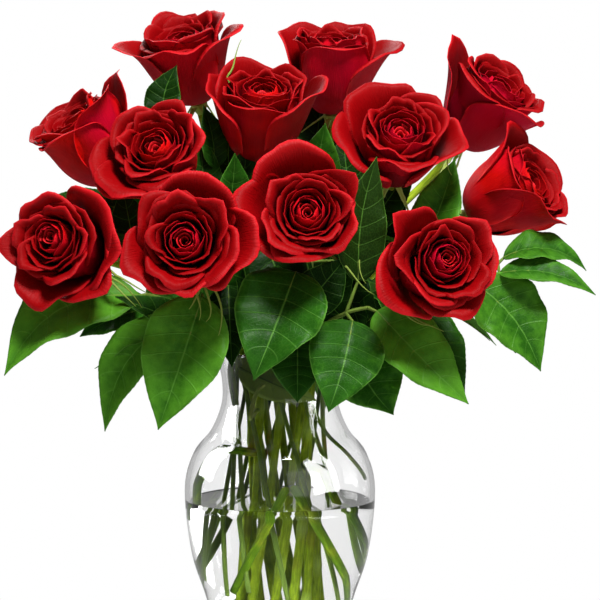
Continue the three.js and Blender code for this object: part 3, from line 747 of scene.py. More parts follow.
def stemPath(rose):
    # straight from foot to neck, then a cubic Bezier curve that ends along the flower's axis
    directions, base = roseFrame(rose)
    axis = directions[2]
    foot = polar(roseStem["footRadius"], rose["neckAngle"] + roseStem["footTwist"], roseStem["footHeight"])
    neck = polar(roseStem["neckRadius"], rose["neckAngle"], roseStem["neckHeight"])
    top = base - axis * (roseStem["calyxLength"] - roseStem["intoCalyx"])
    reach = np.linalg.norm(top - neck)
    leaving = neck + unit(neck - foot) * reach * roseStem["straightShare"]
    arriving = top - axis * reach * roseStem["noddingShare"]
    straight = foot + np.linspace(0, 1, 28)[:-1, None] * (neck - foot)
    curve = bezier([neck, leaving, arriving, top], np.linspace(0, 1, 30))
    return np.concatenate([straight, curve])


stemPaths = [stemPath(rose) for rose in roses]
stemPoints = np.concatenate(stemPaths)


def nearestOnStem(at):
    # the point of the roses' stems that is nearest to a place
    return stemPoints[np.argmin(np.linalg.norm(stemPoints - np.array(at), axis=1))]


def calyxSheet():
    # the swollen cup below the petals, turned round the axis: a half wave from its stem to its rim
    share = np.linspace(0, 1, 14)
    height = -roseStem["calyxLength"] * (1 - share)
    wider = roseStem["calyxRadius"] - roseStem["radius"]
    radius = roseStem["radius"] + wider * np.sin(0.55 * np.pi * share) ** 1.3
    outline = [[0, height[0]], *np.stack([radius, height], -1), [0, height[-1]]]
    sheet = turnedSheet(outline, 20)
    sheet["values"] = {"pale": np.full(len(sheet["points"]), 0.6)}
    return sheet


def sepalSheet(angle, hang, draw):
    # A narrow blade that leaves the calyx at `hang` below the horizontal and curls a little more
    # with each step. Its half width is a power of the way left to the tip, with two small lobes.
    share = np.linspace(0, 1, 22)[:, None]
    across = np.linspace(-1, 1, 5)[None, :]
    length = roseStem["sepalLength"] * (0.95 + 0.2 * draw[0])
    slope = math.radians(hang) + math.radians(34 * draw[1] - 8) * share ** 1.5
    stride = length / (len(share) - 1)
    out = np.cumsum(stride * np.cos(slope), axis=0) - stride * np.cos(slope[0])
    down = np.cumsum(stride * np.sin(slope), axis=0) - stride * np.sin(slope[0])
    lobes = 0.25 * np.exp(-((share - 0.45) / 0.05) ** 2) + 0.2 * np.exp(-((share - 0.62) / 0.04) ** 2)
    halfWidth = 0.5 * roseStem["sepalWidth"] * ((1 - share) ** 0.9 * (0.55 + 0.45 * (1 - share)) + lobes)
    halfWidth = halfWidth + 0.0002
    rootOut, rootUp = roseStem["sepalRoot"]
    aside = across * halfWidth + 0.004 * (draw[2] - 0.5) * share ** 2
    fold = 0.35 * np.abs(across) * halfWidth
    away = rootOut + out + fold * np.sin(slope)
    height = rootUp - down + fold * np.cos(slope)
    points = np.stack([away, aside, height], -1)
    around = [polar(1, angle, 0), polar(1, angle + 90, 0), (0, 0, 1)]
    values = {"along": share, "across": across * 0.5 + 0.5, "pale": 0.5 + 0.5 * np.abs(across)}
    return moved(shellSheet(points, values, 0.0006), around, (0, 0, 0))


# the side shoots in the vase: each one's radius, how pale it is, and the control points of its
# Bezier curve. A straight piece joins it to the stem that passes nearest.
shoots = [
    (0.0016, 0.4, [(-0.0224, -0.034, 0.206), (-0.0217, -0.034, 0.218),
                   (-0.0197, -0.034, 0.226), (-0.0037, -0.030, 0.232)]),
    (0.0013, 0.1, [(0.0244, -0.030, 0.216), (0.0365, -0.034, 0.192),
                   (0.0473, -0.030, 0.178), (0.0612, -0.012, 0.163)]),
    (0.0032, 0, [(-0.0376, -0.020, 0.184), (-0.0498, -0.020, 0.178),
                 (-0.0567, -0.016, 0.159), (-0.0606, -0.006, 0.136)]),
    (0.0034, 0.02, [(0.0110, -0.046, 0.160), (0.0217, -0.046, 0.140),
                    (0.0365, -0.038, 0.112), (0.0504, -0.012, 0.080)]),
    (0.0030, 0, [(0.0030, -0.046, 0.159), (-0.0050, -0.046, 0.140),
                 (-0.0183, -0.044, 0.116), (-0.0293, -0.034, 0.091)]),
    (0.0032, 0, [(0.0286, -0.020, 0.170), (0.0367, -0.020, 0.150),
                 (0.0477, -0.012, 0.128), (0.0588, -0.004, 0.109)]),
]


def shootSheet(radius, pale, controls):
    # the curve, kept off the glass by its own thickness and a little more
    curve = bezier(controls, np.linspace(0, 1, 20))
    away = np.hypot(curve[:, 0], curve[:, 1])
    room = insideRadius(curve[:, 2]) - radius - roseStem["shootRoom"]
    curve[:, :2] = curve[:, :2] * np.minimum(1, room / away)[:, None]
    path = np.concatenate([[nearestOnStem(controls[0])], curve])
    values = {"pale": pale, "dim": roseStem["shootDim"]}
    return tubeSheet(path, radius * np.linspace(1, roseStem["shootTaper"], len(path)), 12, values)


def makeRoseStems():
    green = stemMaterial()
    for number, (rose, path) in enumerate(zip(roses, stemPaths), 1):
        level, base = roseFrame(rose | {"roll": 0})
        draw = rng.uniform(0, 1, 4)
        length = lengths(path)
        # a node every few centimetres, where the stem swells and pales
        turn = length / between(roseStem["nodeEvery"], draw[0]) + draw[1]
        swell = np.exp(-((turn % 1 - 0.5) / roseStem["nodeShare"]) ** 2)
        radii = roseStem["radius"] * (0.98 + 0.05 * np.sin(60 * length + 6 * draw[2]))
        radii = radii + roseStem["nodeSwell"] * swell
        sheets = [tubeSheet(path, radii, roseStem["sides"], {"pale": 0.03 + 0.45 * swell})]
        head = [calyxSheet()]
        for i in range(roseStem["sepals"]):
            hang = roseStem["sepalHang"] * (1 + abs(math.sin(1.7 * (number - 1) + 2.3 * i)))
            around = rose["roll"] + 360 / roseStem["sepals"] * (i + 0.5)
            head.append(sepalSheet(around, hang, rng.uniform(0, 1, 3)))
        sheets += [moved(sheet, level, base) for sheet in head]
        makePiece(f"roseStem_{number:02d}", sheets, green, f"rose_stem_{number:02d}")
    makePiece("sideShoots", [shootSheet(*shoot) for shoot in shoots], green, None)


# The salal sprays. Each one: where its stem passes the vase's neck, how high its cut end leans on the
# glass, the points its stem goes through above the neck, and its leaves: the point that a leaf's
# stalk leaves from, the leaf's base and tip, the way its face looks, its width, its arch in degrees
# and, where they aren't left to a draw, how far it sways aside, how pale it is and its tone. A given
# tone is painted light on leaves in the blooms' shade and painted shade on leaves in the light.
sprays = {
    "left": {"neckAngle": 186, "cutHeight": 0.092, "through": [
        (-0.043, -0.009, 0.264), (-0.074, -0.024, 0.284), (-0.088, -0.036, 0.290),
    ], "leaves": [
        (2, (-0.093, -0.040, 0.290), (-0.181, -0.060, 0.238), (-0.2, -0.8, 0.6), 0.070, 44, -0.15, 0, 1.3),
        (1, (-0.084, -0.030, 0.281), (-0.133, -0.038, 0.262), (-0.1, -0.7, 0.7), 0.046, 20, -0.037, 0, 0.8),
        (0, (-0.060, -0.006, 0.276), (-0.128, 0.020, 0.262), (-0.3, 0.2, 0.9), 0.054, 30),
    ]},
    "front_left": {"neckAngle": 222, "cutHeight": 0.070, "through": [
        (-0.034, -0.031, 0.266), (-0.048, -0.055, 0.284), (-0.050, -0.070, 0.292),
    ], "leaves": [
        (2, (-0.050, -0.076, 0.291), (-0.078, -0.095, 0.206), (-0.1, -0.95, 0.25), 0.070, 30, 0.016, 0, 1.1),
        (1, (-0.065, -0.060, 0.277), (-0.115, -0.060, 0.201), (-0.3, -0.9, 0.3), 0.046, 25, -0.13, 0, 1.2),
        (0, (-0.062, -0.042, 0.264), (-0.122, -0.054, 0.242), (-0.1, 0.1, 0.95), 0.034, 18),
    ]},
    "front": {"neckAngle": 268, "cutHeight": 0.080, "through": [
        (0.002, -0.044, 0.266), (0.008, -0.060, 0.288), (0.011, -0.066, 0.302),
    ], "leaves": [
        (2, (0.011, -0.071, 0.307), (-0.016, -0.105, 0.239), (-0.1, -0.9, 0.4), 0.076, 32, 0.022, 0, 0.55),
        (1, (0.014, -0.062, 0.281), (0.044, -0.062, 0.316), (0.1, -0.98, -0.1), 0.040, 15, 0, 0, -0.6),
        (0, (0.012, -0.058, 0.262), (0.012, -0.078, 0.222), (0, -0.95, 0.3), 0.046, 15, 0.002, 0, 0.4),
    ]},
    "front_right": {"neckAngle": 300, "cutHeight": 0.100, "through": [
        (0.028, -0.037, 0.266), (0.044, -0.058, 0.279), (0.058, -0.062, 0.283),
    ], "leaves": [
        (1, (0.048, -0.074, 0.275), (0.032, -0.100, 0.218), (0, -0.95, 0.3), 0.062, 28, 0.028, 0, 0.6),
        (2, (0.064, -0.066, 0.281), (0.123, -0.088, 0.222), (0.2, -0.9, 0.4), 0.054, 30, -0.04, 0, 1.3),
        (0, (0.051, -0.048, 0.262), (0.075, -0.070, 0.213), (0.2, -0.95, 0.2), 0.074, 20, -0.12),
        (1, (0.052, -0.056, 0.300), (0.064, -0.062, 0.382), (0.3, -0.95, 0), 0.042, 12, 0.06, 0.03, -0.6),
    ]},
    "right": {"neckAngle": 340, "cutHeight": 0.085, "through": [
        (0.044, -0.012, 0.264), (0.090, -0.022, 0.288), (0.124, -0.030, 0.302), (0.146, -0.026, 0.310),
    ], "leaves": [
        (2, (0.128, -0.036, 0.299), (0.174, -0.040, 0.239), (0.3, -0.85, 0.4), 0.064, 20, 0.08),
        (3, (0.150, -0.024, 0.314), (0.206, -0.020, 0.305), (0.1, -0.55, 0.8), 0.038, 84, 0.05, 0, 0.9),
        (3, (0.147, -0.032, 0.304), (0.210, -0.042, 0.290), (0.1, -0.7, 0.7), 0.027, 56, 0.04, 0, 0.9),
        (1, (0.094, -0.034, 0.280), (0.122, -0.066, 0.226), (0.3, -0.9, 0.3), 0.040, 22),
        (1, (0.096, -0.016, 0.318), (0.118, -0.012, 0.380), (-0.3, -0.9, 0.2), 0.042, 16),
    ]},
    "back_right": {"neckAngle": 20, "cutHeight": 0.075, "through": [
        (0.041, 0.019, 0.264), (0.080, 0.042, 0.286), (0.100, 0.056, 0.294),
    ], "leaves": [
        (2, (0.105, 0.060, 0.293), (0.168, 0.092, 0.240), (0.4, 0.5, 0.8), 0.060, 40),
        (1, (0.088, 0.036, 0.284), (0.150, 0.036, 0.250), (0.4, 0, 0.9), 0.052, 34),
        (0, (0.058, 0.036, 0.268), (0.092, 0.088, 0.222), (0.4, 0.6, 0.7), 0.054, 34),
    ]},
    "back": {"neckAngle": 78, "cutHeight": 0.090, "through": [
        (0.012, 0.042, 0.264), (0.032, 0.074, 0.286), (0.042, 0.094, 0.296),
    ], "leaves": [
        (2, (0.043, 0.099, 0.296), (0.066, 0.152, 0.232), (0.1, 0.8, 0.6), 0.062, 36),
        (1, (0.028, 0.080, 0.284), (0.004, 0.132, 0.246), (0, 0.7, 0.7), 0.056, 30),
        (0, (0.022, 0.054, 0.262), (0.034, 0.096, 0.208), (0.1, 0.9, 0.5), 0.050, 28),
    ]},
    "back_left": {"neckAngle": 112, "cutHeight": 0.078, "through": [
        (-0.019, 0.041, 0.264), (-0.044, 0.076, 0.286), (-0.056, 0.092, 0.296),
    ], "leaves": [
        (2, (-0.059, 0.096, 0.296), (-0.092, 0.144, 0.236), (-0.1, 0.8, 0.6), 0.062, 36),
        (1, (-0.054, 0.066, 0.284), (-0.116, 0.092, 0.250), (-0.4, 0.4, 0.8), 0.056, 30),
        (0, (-0.022, 0.056, 0.262), (-0.030, 0.098, 0.208), (-0.1, 0.9, 0.5), 0.050, 28),
    ]},
    "upper_left": {"neckAngle": 165, "cutHeight": 0.088, "through": [
        (-0.031, 0.010, 0.262), (-0.037, 0.013, 0.281), (-0.040, 0.015, 0.300),
        (-0.042, 0.006, 0.332), (-0.043, 0.004, 0.368), (-0.050, 0.006, 0.396),
    ], "leaves": [
        (5, (-0.078, 0.004, 0.402), (-0.070, 0.006, 0.443), (-0.2, -0.95, 0.2), 0.032, 15, 0.10, 0, -0.5),
        (4, (-0.044, 0.001, 0.374), (-0.052, 0.006, 0.416), (0.5, -0.85, 0), 0.026, 15),
        (3, (-0.038, -0.004, 0.336), (-0.030, -0.018, 0.384), (0.4, -0.9, 0), 0.034, 15),
    ]},
    "upper_back": {"neckAngle": 97, "cutHeight": 0.084, "through": [
        (0.000, 0.031, 0.262), (0.012, 0.026, 0.312), (0.022, 0.024, 0.344),
    ], "leaves": [
        (2, (0.027, 0.024, 0.352), (0.031, 0.014, 0.404), (0, -0.95, 0.2), 0.038, 15),
        (1, (0.022, 0.034, 0.324), (0.052, 0.056, 0.368), (0.2, 0.7, 0.7), 0.042, 25),
        (1, (0.006, 0.036, 0.322), (-0.008, 0.084, 0.362), (-0.1, 0.7, 0.7), 0.046, 25),
    ]},
    "upper_back_left": {"neckAngle": 140, "cutHeight": 0.096, "through": [
        (-0.028, 0.028, 0.262), (-0.050, 0.052, 0.320), (-0.062, 0.062, 0.350),
    ], "leaves": [
        (2, (-0.066, 0.066, 0.356), (-0.104, 0.088, 0.392), (-0.2, 0.6, 0.8), 0.048, 30),
        (1, (-0.052, 0.060, 0.326), (-0.062, 0.116, 0.348), (0, 0.4, 0.9), 0.052, 35),
        (1, (-0.058, 0.060, 0.320), (-0.104, 0.088, 0.316), (-0.1, 0.2, 0.97), 0.046, 35),
    ]},
    "upper_back_right": {"neckAngle": 56, "cutHeight": 0.072, "through": [
        (0.020, 0.036, 0.262), (0.044, 0.062, 0.312), (0.060, 0.076, 0.345),
    ], "leaves": [
        (2, (0.066, 0.080, 0.350), (0.108, 0.098, 0.384), (0.2, 0.6, 0.8), 0.048, 30),
        (1, (0.046, 0.072, 0.316), (0.060, 0.124, 0.336), (0, 0.4, 0.9), 0.052, 35),
        (1, (0.056, 0.066, 0.312), (0.112, 0.082, 0.312), (0.1, 0.2, 0.97), 0.046, 35),
    ]},
}

salal = {
    "stemRadius": 0.0017, "neckRadius": 0.031, "footTwist": 60, "glassRoom": 0.0025, "neckHeight": 0.228,
    "stalkHalfWidth": 0.0012, "stalkTaper": 0.7, "stalkRadii": (0.0013, 0.0010, 0.00025),
    "thickness": 0.00045, "rows": 60, "columns": 10, "fuller": 1.08, "fold": 0.27, "wave": 0.06,
    "ripple": 0.08, "teeth": 20, "toothDepth": 0.00035, "veinCount": 7, "quilt": 0.0009,
    "groove": 0.0005,
}


def leafFrame(leaf):
    # the leaf's base, the ways along it, aside and up from it, square to each other, and its length
    base, tip, up = leaf[:3]
    base = np.array(base)
    chord = np.array(tip) - base
    length = np.linalg.norm(chord)
    chord = chord / length
    normal = np.array(up, float)
    normal = unit(normal - chord * (normal @ chord))
    return base, chord, np.cross(normal, chord), normal, length


def leafOptions(leaf, draw):
    # how far the leaf sways aside as a share of its length, how pale it is, and its tone: drawn at random
    # unless given, where it is painted light on leaves in shade and painted shade on leaves in the light
    usual = (0.08 * (draw[1] - 0.5), 0, draw[2])
    return *leaf[5:], *usual[len(leaf) - 5:]


def ribArc(leaf, length, share):
    # an arc of a circle from base to tip: how far along the chord and how far above it
    bend = math.radians(leaf[4])
    arcRadius = length / (2 * math.sin(bend / 2))
    slope = bend / 2 - bend * share
    along = arcRadius * (math.sin(bend / 2) - np.sin(slope))
    return along, arcRadius * (np.cos(slope) - math.cos(bend / 2))


def leafSheet(leaf, draw):
    # Half width: 1.72 share^0.55 (1 - share^1.5)^1.25 of half the width, and the stalk's. Each half
    # rises from the rib in proportion to its width, with a long wave and a short one along the
    # margin. Fine teeth stand on the margin, and the blade domes up between the side veins, which
    # run forwards as they go out.
    base, chord, side, normal, length = leafFrame(leaf)
    width = leaf[3]
    sway, pale, toneAndPaintedLight = leafOptions(leaf, draw)
    share = np.linspace(0, 1, salal["rows"] + 1)[:, None]
    across = np.linspace(1, -1, salal["columns"] + 1)[None, :]
    out = np.abs(across)
    outline = 1.72 * share ** 0.55 * (1 - share ** 1.5) ** 1.25
    halfBlade = 0.5 * width * salal["fuller"] * outline
    halfWidth = halfBlade + salal["stalkHalfWidth"] * (1 - salal["stalkTaper"] * share) * 0.6
    tooth = (share * salal["teeth"] + draw[0]) % 1 - 0.5
    aside = across * (halfWidth + salal["toothDepth"] * tooth * out ** 8 * np.minimum(1, 4 * outline))
    aside = aside + sway * length * np.sin(np.pi * share)
    along, raised = ribArc(leaf, length, share)
    raised = raised + out * halfBlade * (salal["fold"] + salal["wave"] * np.sin(9 * share + 1000 * width))
    waves = np.sin(21 * share + 6.28 * draw[1] + 1.6 * across)
    raised = raised + salal["ripple"] * halfBlade * out ** 3 * waves
    vein = share * salal["veinCount"] - 0.85 * out ** 1.2
    room = outline * (1 - out ** 4)
    raised = raised + salal["quilt"] * room * np.abs(np.sin(np.pi * vein))
    raised = raised - salal["groove"] * np.exp(-(out / 0.06) ** 2) * np.minimum(1, 3 * outline)
    points = base + along[..., None] * chord + aside[..., None] * side + raised[..., None] * normal
    values = {"along": share, "across": across * 0.5 + 0.5, "toneAndPaintedLight": toneAndPaintedLight, "pale": pale}
    return shellSheet(points, values, salal["thickness"])


def stalkSheet(leaf, start, draw):
    # the leaf's stalk, and the rib it runs on as under the blade, thinner with each step
    base, chord, side, normal, length = leafFrame(leaf)
    share = np.linspace(0, 0.92, 24)
    along, raised = ribArc(leaf, length, share)
    raised = raised - salal["groove"] - salal["thickness"] * 0.5
    aside = leafOptions(leaf, draw)[0] * length * np.sin(np.pi * share)
    rib = base + along[:, None] * chord + aside[:, None] * side + raised[:, None] * normal
    stalk = start + np.linspace(0, 1, 7)[:-1, None] * (rib[0] - start)
    path = np.concatenate([stalk, rib])
    foot, middle, end = salal["stalkRadii"]
    radii = np.concatenate([np.linspace(foot, middle, len(stalk)), np.linspace(middle, end, len(rib))])
    return tubeSheet(path, radii, 8, {"pale": 0.55, "toneAndPaintedLight": 0.5})


def leafSheets(leaf, start, draw):
    return [leafSheet(leaf, draw), stalkSheet(leaf, start, draw)]


def sprayPath(spray):
    # Catmull-Rom through the cut end, the point half way to the neck, the neck and the points above
    # it, eight steps between two
    cutRadius = insideRadius(spray["cutHeight"]) - salal["glassRoom"]
    cut = polar(cutRadius, spray["neckAngle"] + salal["footTwist"], spray["cutHeight"])
    neck = polar(salal["neckRadius"], spray["neckAngle"], salal["neckHeight"])
    return throughKnots(np.array([cut, cut + (neck - cut) / 2, neck, *spray["through"]]), 8)


def makeSprays():
    green = leafMaterial()
    for name, spray in sprays.items():
        path = sprayPath(spray)
        radii = salal["stemRadius"] * np.linspace(1, 0.72, len(path))
        sheets = [tubeSheet(path, radii, 10, {"pale": 0.6, "toneAndPaintedLight": 0.4})]
        for start, *leaf in spray["leaves"]:
            sheets += leafSheets(leaf, np.array(spray["through"][start]), rng.uniform(0, 1, 3))
        makePiece(f"salalSpray_{name}", sheets, green, f"salal_spray_{name}")


# the share that scales the gap leaves' tone down darkens them as painted shade
roseLeaf = {
    "perStem": 2, "place": (0.80, 0.93), "length": (0.034, 0.052), "width": 0.56, "bend": (15, 50),
    "outwards": 0.55, "down": 0.35, "stalk": 0.006, "toneAndPaintedLight": 0.45, "gapPaintedShade": 0.35,
    "strandRadii": (0.0009, 0.0002),
}

# the roses' own leaves that fill the gaps seen from the front: base, tip, and the rest as a spray's
# leaf has it. Each one's stalk leaves the stem that passes nearest to its base. Their tone is kept
# low, and lower still where given, as painted shade.
gapLeaves = [
    ((-0.020, 0.000, 0.268), (-0.026, -0.034, 0.345), (0, -0.9, 0.3), 0.036, 20),
    ((-0.045, 0.000, 0.275), (-0.116, -0.030, 0.332), (0, -0.9, 0.4), 0.038, 20),
    ((0.020, -0.020, 0.262), (0.050, -0.045, 0.322), (0, -0.9, 0.3), 0.036, 18),
    ((0.034, -0.004, 0.285), (0.052, -0.024, 0.366), (0.3, -0.9, 0), 0.034, 18),
    ((0.050, -0.020, 0.262), (0.090, -0.055, 0.302), (0.1, -0.9, 0.4), 0.032, 22),
    ((-0.034, 0.006, 0.318), (-0.022, 0.004, 0.396), (0.1, -0.9, 0), 0.034, 15),
    ((-0.008, -0.030, 0.262), (-0.028, -0.070, 0.302), (0, -0.9, 0.4), 0.030, 20),
    ((-0.050, -0.028, 0.262), (-0.108, -0.058, 0.290), (0, -0.8, 0.6), 0.032, 25),
    ((0.086, -0.006, 0.288), (0.138, -0.026, 0.334), (0.1, -0.9, 0.4), 0.034, 22),
    ((-0.078, 0.016, 0.330), (-0.100, 0.014, 0.392), (-0.2, -0.9, 0.2), 0.030, 15),
    ((0.060, 0.010, 0.330), (0.094, 0.018, 0.378), (0.1, -0.9, 0.3), 0.030, 18),
    ((-0.034, -0.040, 0.296), (-0.031, -0.066, 0.244), (0, -0.9, 0.3), 0.038, 20, 0, 0, -0.2),
    ((-0.012, -0.022, 0.330), (0.014, -0.038, 0.266), (0, -0.95, 0.2), 0.052, 20, 0, 0, -0.5),
    ((0.036, -0.020, 0.312), (0.056, -0.034, 0.262), (0.1, -0.9, 0.3), 0.040, 20, 0, 0, -0.4),
    ((-0.050, 0.004, 0.340), (-0.055, 0.002, 0.400), (0.2, -0.95, 0), 0.032, 18, 0, 0, 0.1),
    ((-0.096, -0.008, 0.308), (-0.106, -0.012, 0.362), (0, -0.95, 0.2), 0.038, 18, 0, 0, -0.3),
    ((-0.105, 0.000, 0.345), (-0.158, 0.004, 0.353), (0, -0.8, 0.6), 0.026, 30),
    # the leaf in the vase's neck: paled partly for its own paler green and partly as painted light, as it
    # lies in the shade of the leaves above
    ((-0.026, -0.0235, 0.240), (0.024, -0.0255, 0.218), (0, 1, 0), 0.030, -84, 0, 0.9),
    ((-0.0325, -0.0115, 0.244), (-0.0305, 0.0140, 0.205), (1, 0, 0), 0.026, -26, 0, 0.3),
    ((0.0325, -0.0085, 0.243), (0.0300, 0.0160, 0.206), (-1, 0, 0), 0.026, -26, 0, 0.2),
    ((-0.011, 0.022, 0.246), (-0.012, 0.024, 0.200), (0, -1, 0), 0.020, 10),
    ((0.013, 0.022, 0.246), (0.012, 0.022, 0.203), (0, -1, 0), 0.020, 10),
    ((0.020, 0.070, 0.352), (0.030, 0.088, 0.427), (0, -0.95, 0.2), 0.044, 15, 0, 0, -0.3),
    ((0.050, 0.050, 0.335), (0.043, 0.060, 0.400), (0, -0.95, 0.1), 0.036, 15, 0, 0, -0.4),
    ((-0.036, 0.045, 0.345), (-0.036, 0.055, 0.414), (0, -0.95, 0), 0.038, 15, 0, 0, -0.4),
    ((0.012, 0.016, 0.330), (0.026, 0.018, 0.282), (0, -0.95, 0.2), 0.040, 18, 0, 0, -0.5),
    ((0.068, 0.020, 0.318), (0.078, 0.022, 0.380), (0, -0.95, 0.2), 0.036, 15, 0, 0, -0.4),
]

# the thin sepals and strands that hang below the blooms: the four control points of each one's
# Bezier curve, which a straight piece joins to the stem that passes nearest
strands = [
    [(-0.0535, -0.088, 0.295), (-0.0515, -0.092, 0.289), (-0.0488, -0.094, 0.282), (-0.0514, -0.094, 0.277)],
    [(-0.0472, -0.086, 0.296), (-0.0438, -0.090, 0.287), (-0.0418, -0.092, 0.280), (-0.0470, -0.092, 0.276)],
    [(-0.0420, -0.086, 0.297), (-0.0353, -0.092, 0.287), (-0.0346, -0.094, 0.274), (-0.0419, -0.092, 0.260)],
    [(-0.0510, -0.086, 0.297), (-0.0535, -0.090, 0.291), (-0.0560, -0.092, 0.286), (-0.0579, -0.092, 0.284)],
    [(-0.1098, -0.060, 0.302), (-0.1018, -0.062, 0.299), (-0.0952, -0.064, 0.292), (-0.0898, -0.066, 0.283)],
    [(-0.1072, -0.060, 0.304), (-0.0979, -0.062, 0.300), (-0.0926, -0.063, 0.295), (-0.0847, -0.064, 0.292)],
    [(-0.1111, -0.060, 0.301), (-0.1058, -0.062, 0.295), (-0.0991, -0.064, 0.289), (-0.0937, -0.066, 0.284)],
    [(0.0776, -0.075, 0.289), (0.0839, -0.080, 0.276), (0.0941, -0.084, 0.275), (0.1070, -0.086, 0.269)],
    [(0.0763, -0.074, 0.288), (0.0813, -0.080, 0.279), (0.0889, -0.084, 0.273), (0.0979, -0.086, 0.273)],
    [(0.0400, -0.060, 0.313), (0.0477, -0.066, 0.309), (0.0503, -0.070, 0.298), (0.0621, -0.070, 0.292)],
    [(0.0586, -0.050, 0.332), (0.0525, -0.056, 0.319), (0.0498, -0.062, 0.308), (0.0569, -0.066, 0.299)],
    [(0.0662, -0.012, 0.369), (0.0700, -0.020, 0.372), (0.0792, -0.026, 0.368), (0.0870, -0.030, 0.373)],
    [(0.1161, -0.010, 0.393), (0.1132, -0.014, 0.385), (0.1104, -0.016, 0.375), (0.1158, -0.016, 0.369)],
    [(-0.0360, 0.012, 0.436), (-0.0300, 0.014, 0.441), (-0.0320, 0.018, 0.450), (-0.0265, 0.022, 0.461)],
]


def strandSheet(controls):
    # even from the stem to the first point of the curve, then thinner with each step
    path = [nearestOnStem(controls[0]), *bezier(controls, np.linspace(0, 1, 16))]
    foot, end = roseLeaf["strandRadii"]
    radii = [foot, *np.linspace(foot, end, len(path) - 1)]
    return tubeSheet(path, radii, 6, {"pale": 1.0, "toneAndPaintedLight": 0.5})


def roseLeafSheets(path, draw):
    # A leaf on the upper part of a stem. It points out from the bouquet's axis, to one side of the
    # stem by the draw, and down by the draw's share of `down`.
    at = int(between(roseLeaf["place"], draw[0]) * (len(path) - 1))
    rise = unit(path[at] - path[at - 1])
    outward = unit([path[at, 0], path[at, 1], 0])
    swing = unit(np.cross(rise, outward)) * (2.4 * draw[1] - 1.2)
    heading = unit(outward * roseLeaf["outwards"] + swing - [0, 0, roseLeaf["down"] * draw[2]])
    length = between(roseLeaf["length"], draw[3])
    base = path[at] + heading * roseLeaf["stalk"]
    bend = between(roseLeaf["bend"], draw[4])
    up = unit(outward * 0.5 + [0, 0, 1])
    leaf = (base, base + heading * length, up, roseLeaf["width"] * length, bend)
    return leafSheets(leaf, path[at], draw[5:8] * [1, 1, roseLeaf["toneAndPaintedLight"]])


def makeRoseLeaves():
    green = bpy.data.materials["salalLeaf"]
    sheets = []
    for path in stemPaths:
        for _ in range(roseLeaf["perStem"]):
            sheets += roseLeafSheets(path, rng.uniform(0, 1, 8))
    for leaf in gapLeaves:
        # painted shade: the gap leaves' random tone is scaled down to darken them
        draw = rng.uniform(0, 1, 3) * [1, 1, roseLeaf["gapPaintedShade"]]
        sheets += leafSheets(leaf, nearestOnStem(leaf[0]), draw)
    sheets += [strandSheet(controls) for controls in strands]
    makePiece("roseLeaves", sheets, green, None)


makeRoseStems()
makeSprays()
makeRoseLeaves()
print("stems and sprays made")

# Stage


def aimedLight(name, at, target, size, power, spread=180):
    data = bpy.data.lights.new(name, "AREA")
    data.shape = "RECTANGLE"
    data.size, data.size_y = size
    data.energy = power
    data.spread = math.radians(spread)
    light = bpy.data.objects.new(name, data)
    light.location = at
    light.rotation_mode = "QUATERNION"
    light.rotation_quaternion = (Vector(target) - Vector(at)).to_track_quat("-Z", "Y")
    light.visible_camera = False
    scene.collection.objects.link(light)
    return light


stageLook = {"floorSize": 5.0, "fadeFrom": 0.10, "fadeTo": 0.42, "floor": "dcdcdc"}


def makeFloor():
    # a pale plane that shades to plain white away from the vase
    reach = stageLook["floorSize"]
    corners = [(-reach, -reach, 0), (reach, -reach, 0), (reach, reach, 0), (-reach, reach, 0)]
    mesh = bpy.data.meshes.new("floor")
    mesh.from_pydata(corners, [], [(0, 1, 2, 3)])
    floor = bpy.data.objects.new("floor", mesh)
    scene.collection.objects.link(floor)
    material, wire = newMaterial("paleFloor")
    place = wire.place()
    away = (place.part(0) ** 2 + place.part(1) ** 2) ** 0.5
    pale = wire.node("ShaderNodeBsdfDiffuse", None, {"Color": colour(stageLook["floor"])})
    white = wire.node("ShaderNodeEmission", None, {"Color": (1, 1, 1, 1), "Strength": 1.0})
    fade = away.ramp(stageLook["fadeFrom"], stageLook["fadeTo"])
    wire.node("ShaderNodeMixShader", None, {0: fade, 1: pale, 2: white}).finish()
    mesh.materials.append(material)
    # the glass mirrors and shows the room in its place
    floor.visible_glossy = False
    floor.visible_transmission = False


# Each window: its azimuth from the front towards the right and its elevation, in degrees, and
# how far it reaches to the sides and up and down, as shares of a unit vector
studio = {
    "sky": 1.0, "horizon": 0.25, "strength": 0.25, "sideBand": 0.5, "backWall": 1.8, "window": 60.0,
    "windows": [(60, 32, 0.30, 0.50), (-108, 34, 0.24, 0.44)], "windowEdge": 0.01,
}


def windowMask(direction, azimuth, elevation, halfWidth, halfHeight):
    # 1 where the direction's parts along the window's width and height are within its half sizes
    a, e = math.radians(azimuth), math.radians(elevation)
    middle = (math.sin(a) * math.cos(e), -math.cos(a) * math.cos(e), math.sin(e))
    across = (math.cos(a), math.sin(a), 0)
    up = (-math.sin(a) * math.sin(e), math.cos(a) * math.sin(e), math.cos(e))
    x, y, z = [direction.part(i) for i in range(3)]
    towards, aside, above = [x * v[0] + y * v[1] + z * v[2] for v in (middle, across, up)]
    soft = studio["windowEdge"]
    inWidth = 1 - abs(aside).ramp(halfWidth - soft, halfWidth)
    inHeight = 1 - abs(above).ramp(halfHeight - soft, halfHeight)
    return inWidth * inHeight * towards.ramp(0, soft)


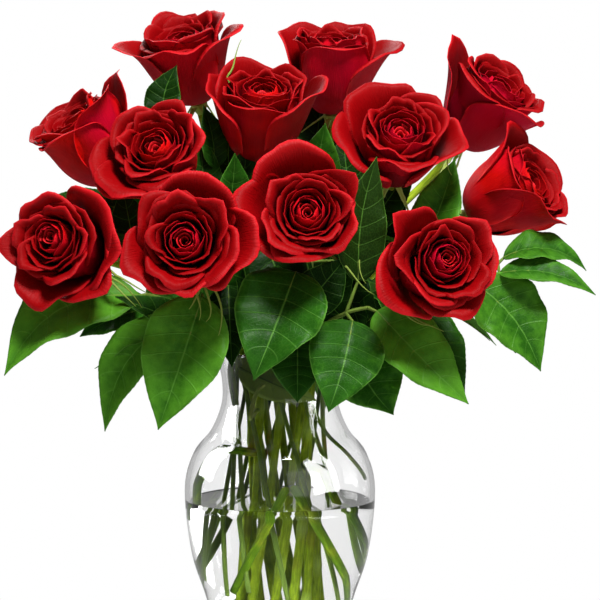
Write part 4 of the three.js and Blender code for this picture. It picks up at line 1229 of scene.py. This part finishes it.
def makeWorld():
    # The camera sees plain white. Everything else is lit by a room that is brightest overhead and
    # darker to the left and right, which gives the glass its grey edges.
    world = bpy.data.worlds.new("studio")
    world.use_nodes = True
    world.node_tree.nodes.clear()
    wire = Wire(world.node_tree)
    direction = wire.node("ShaderNodeTexCoord", output="Generated")
    height = direction.part(2).ramp(-0.1, 0.9)
    level = studio["horizon"] + (studio["sky"] - studio["horizon"]) * height
    level = level * (1 - studio["sideBand"] * abs(direction.part(0)).ramp(0.35, 0.9))
    # only sharp reflections, those on the glass and the water, show the windows and a bright back wall
    bright = direction.part(1).ramp(0, 0.8) * studio["backWall"]
    for window in studio["windows"]:
        bright = bright + windowMask(direction, *window) * studio["window"]
    level = level + bright * wire.node("ShaderNodeLightPath", output="Is Singular Ray")
    grey = wire.node("ShaderNodeCombineXYZ", None, {0: level, 1: level, 2: level})
    room = wire.node("ShaderNodeBackground", None, {"Color": grey, "Strength": studio["strength"]})
    white = wire.node("ShaderNodeBackground", None, {"Color": (1, 1, 1, 1), "Strength": 1.0})
    # the glass and the water show the white too, where the ray has met nothing else before
    path = "ShaderNodeLightPath"
    seen = wire.node(path).max(wire.node(path, output="Is Transmission Ray"))
    for bounce in ("Diffuse Depth", "Glossy Depth"):
        seen = seen * (1 - wire.node(path, output=bounce).ramp(0, 1))
    wire.node("ShaderNodeMixShader", None, {0: seen, 1: room, 2: white}).finish("World")
    scene.world = world


# Each light: where it is, what it aims at, its size, its power in watts and, where it is narrower
# than a half circle, its spread in degrees. The beam falls on the stems in the vase.
bouquet = (0.01, -0.02, 0.36)
lights = {
    "key": ((0.3, -1.0, 1.9), bouquet, (0.5, 0.5), 76),
    "front": ((0.9, -1.7, 0.75), bouquet, (1.2, 1.2), 4),
    "rear": ((-0.5, 1.5, 1.3), bouquet, (1.0, 1.0), 14),
    "beam": ((0.25, -1.5, 0.08), (0, 0, 0.10), (0.1, 0.1), 0.2, 9),
}


def makeLights():
    made = {name: aimedLight(name, *row) for name, row in lights.items()}
    # the glass doesn't show the beam
    made["beam"].visible_glossy = False
    made["beam"].visible_transmission = False


makeFloor()
makeWorld()
makeLights()
scene.view_settings.view_transform = "Standard"
print("stage made")
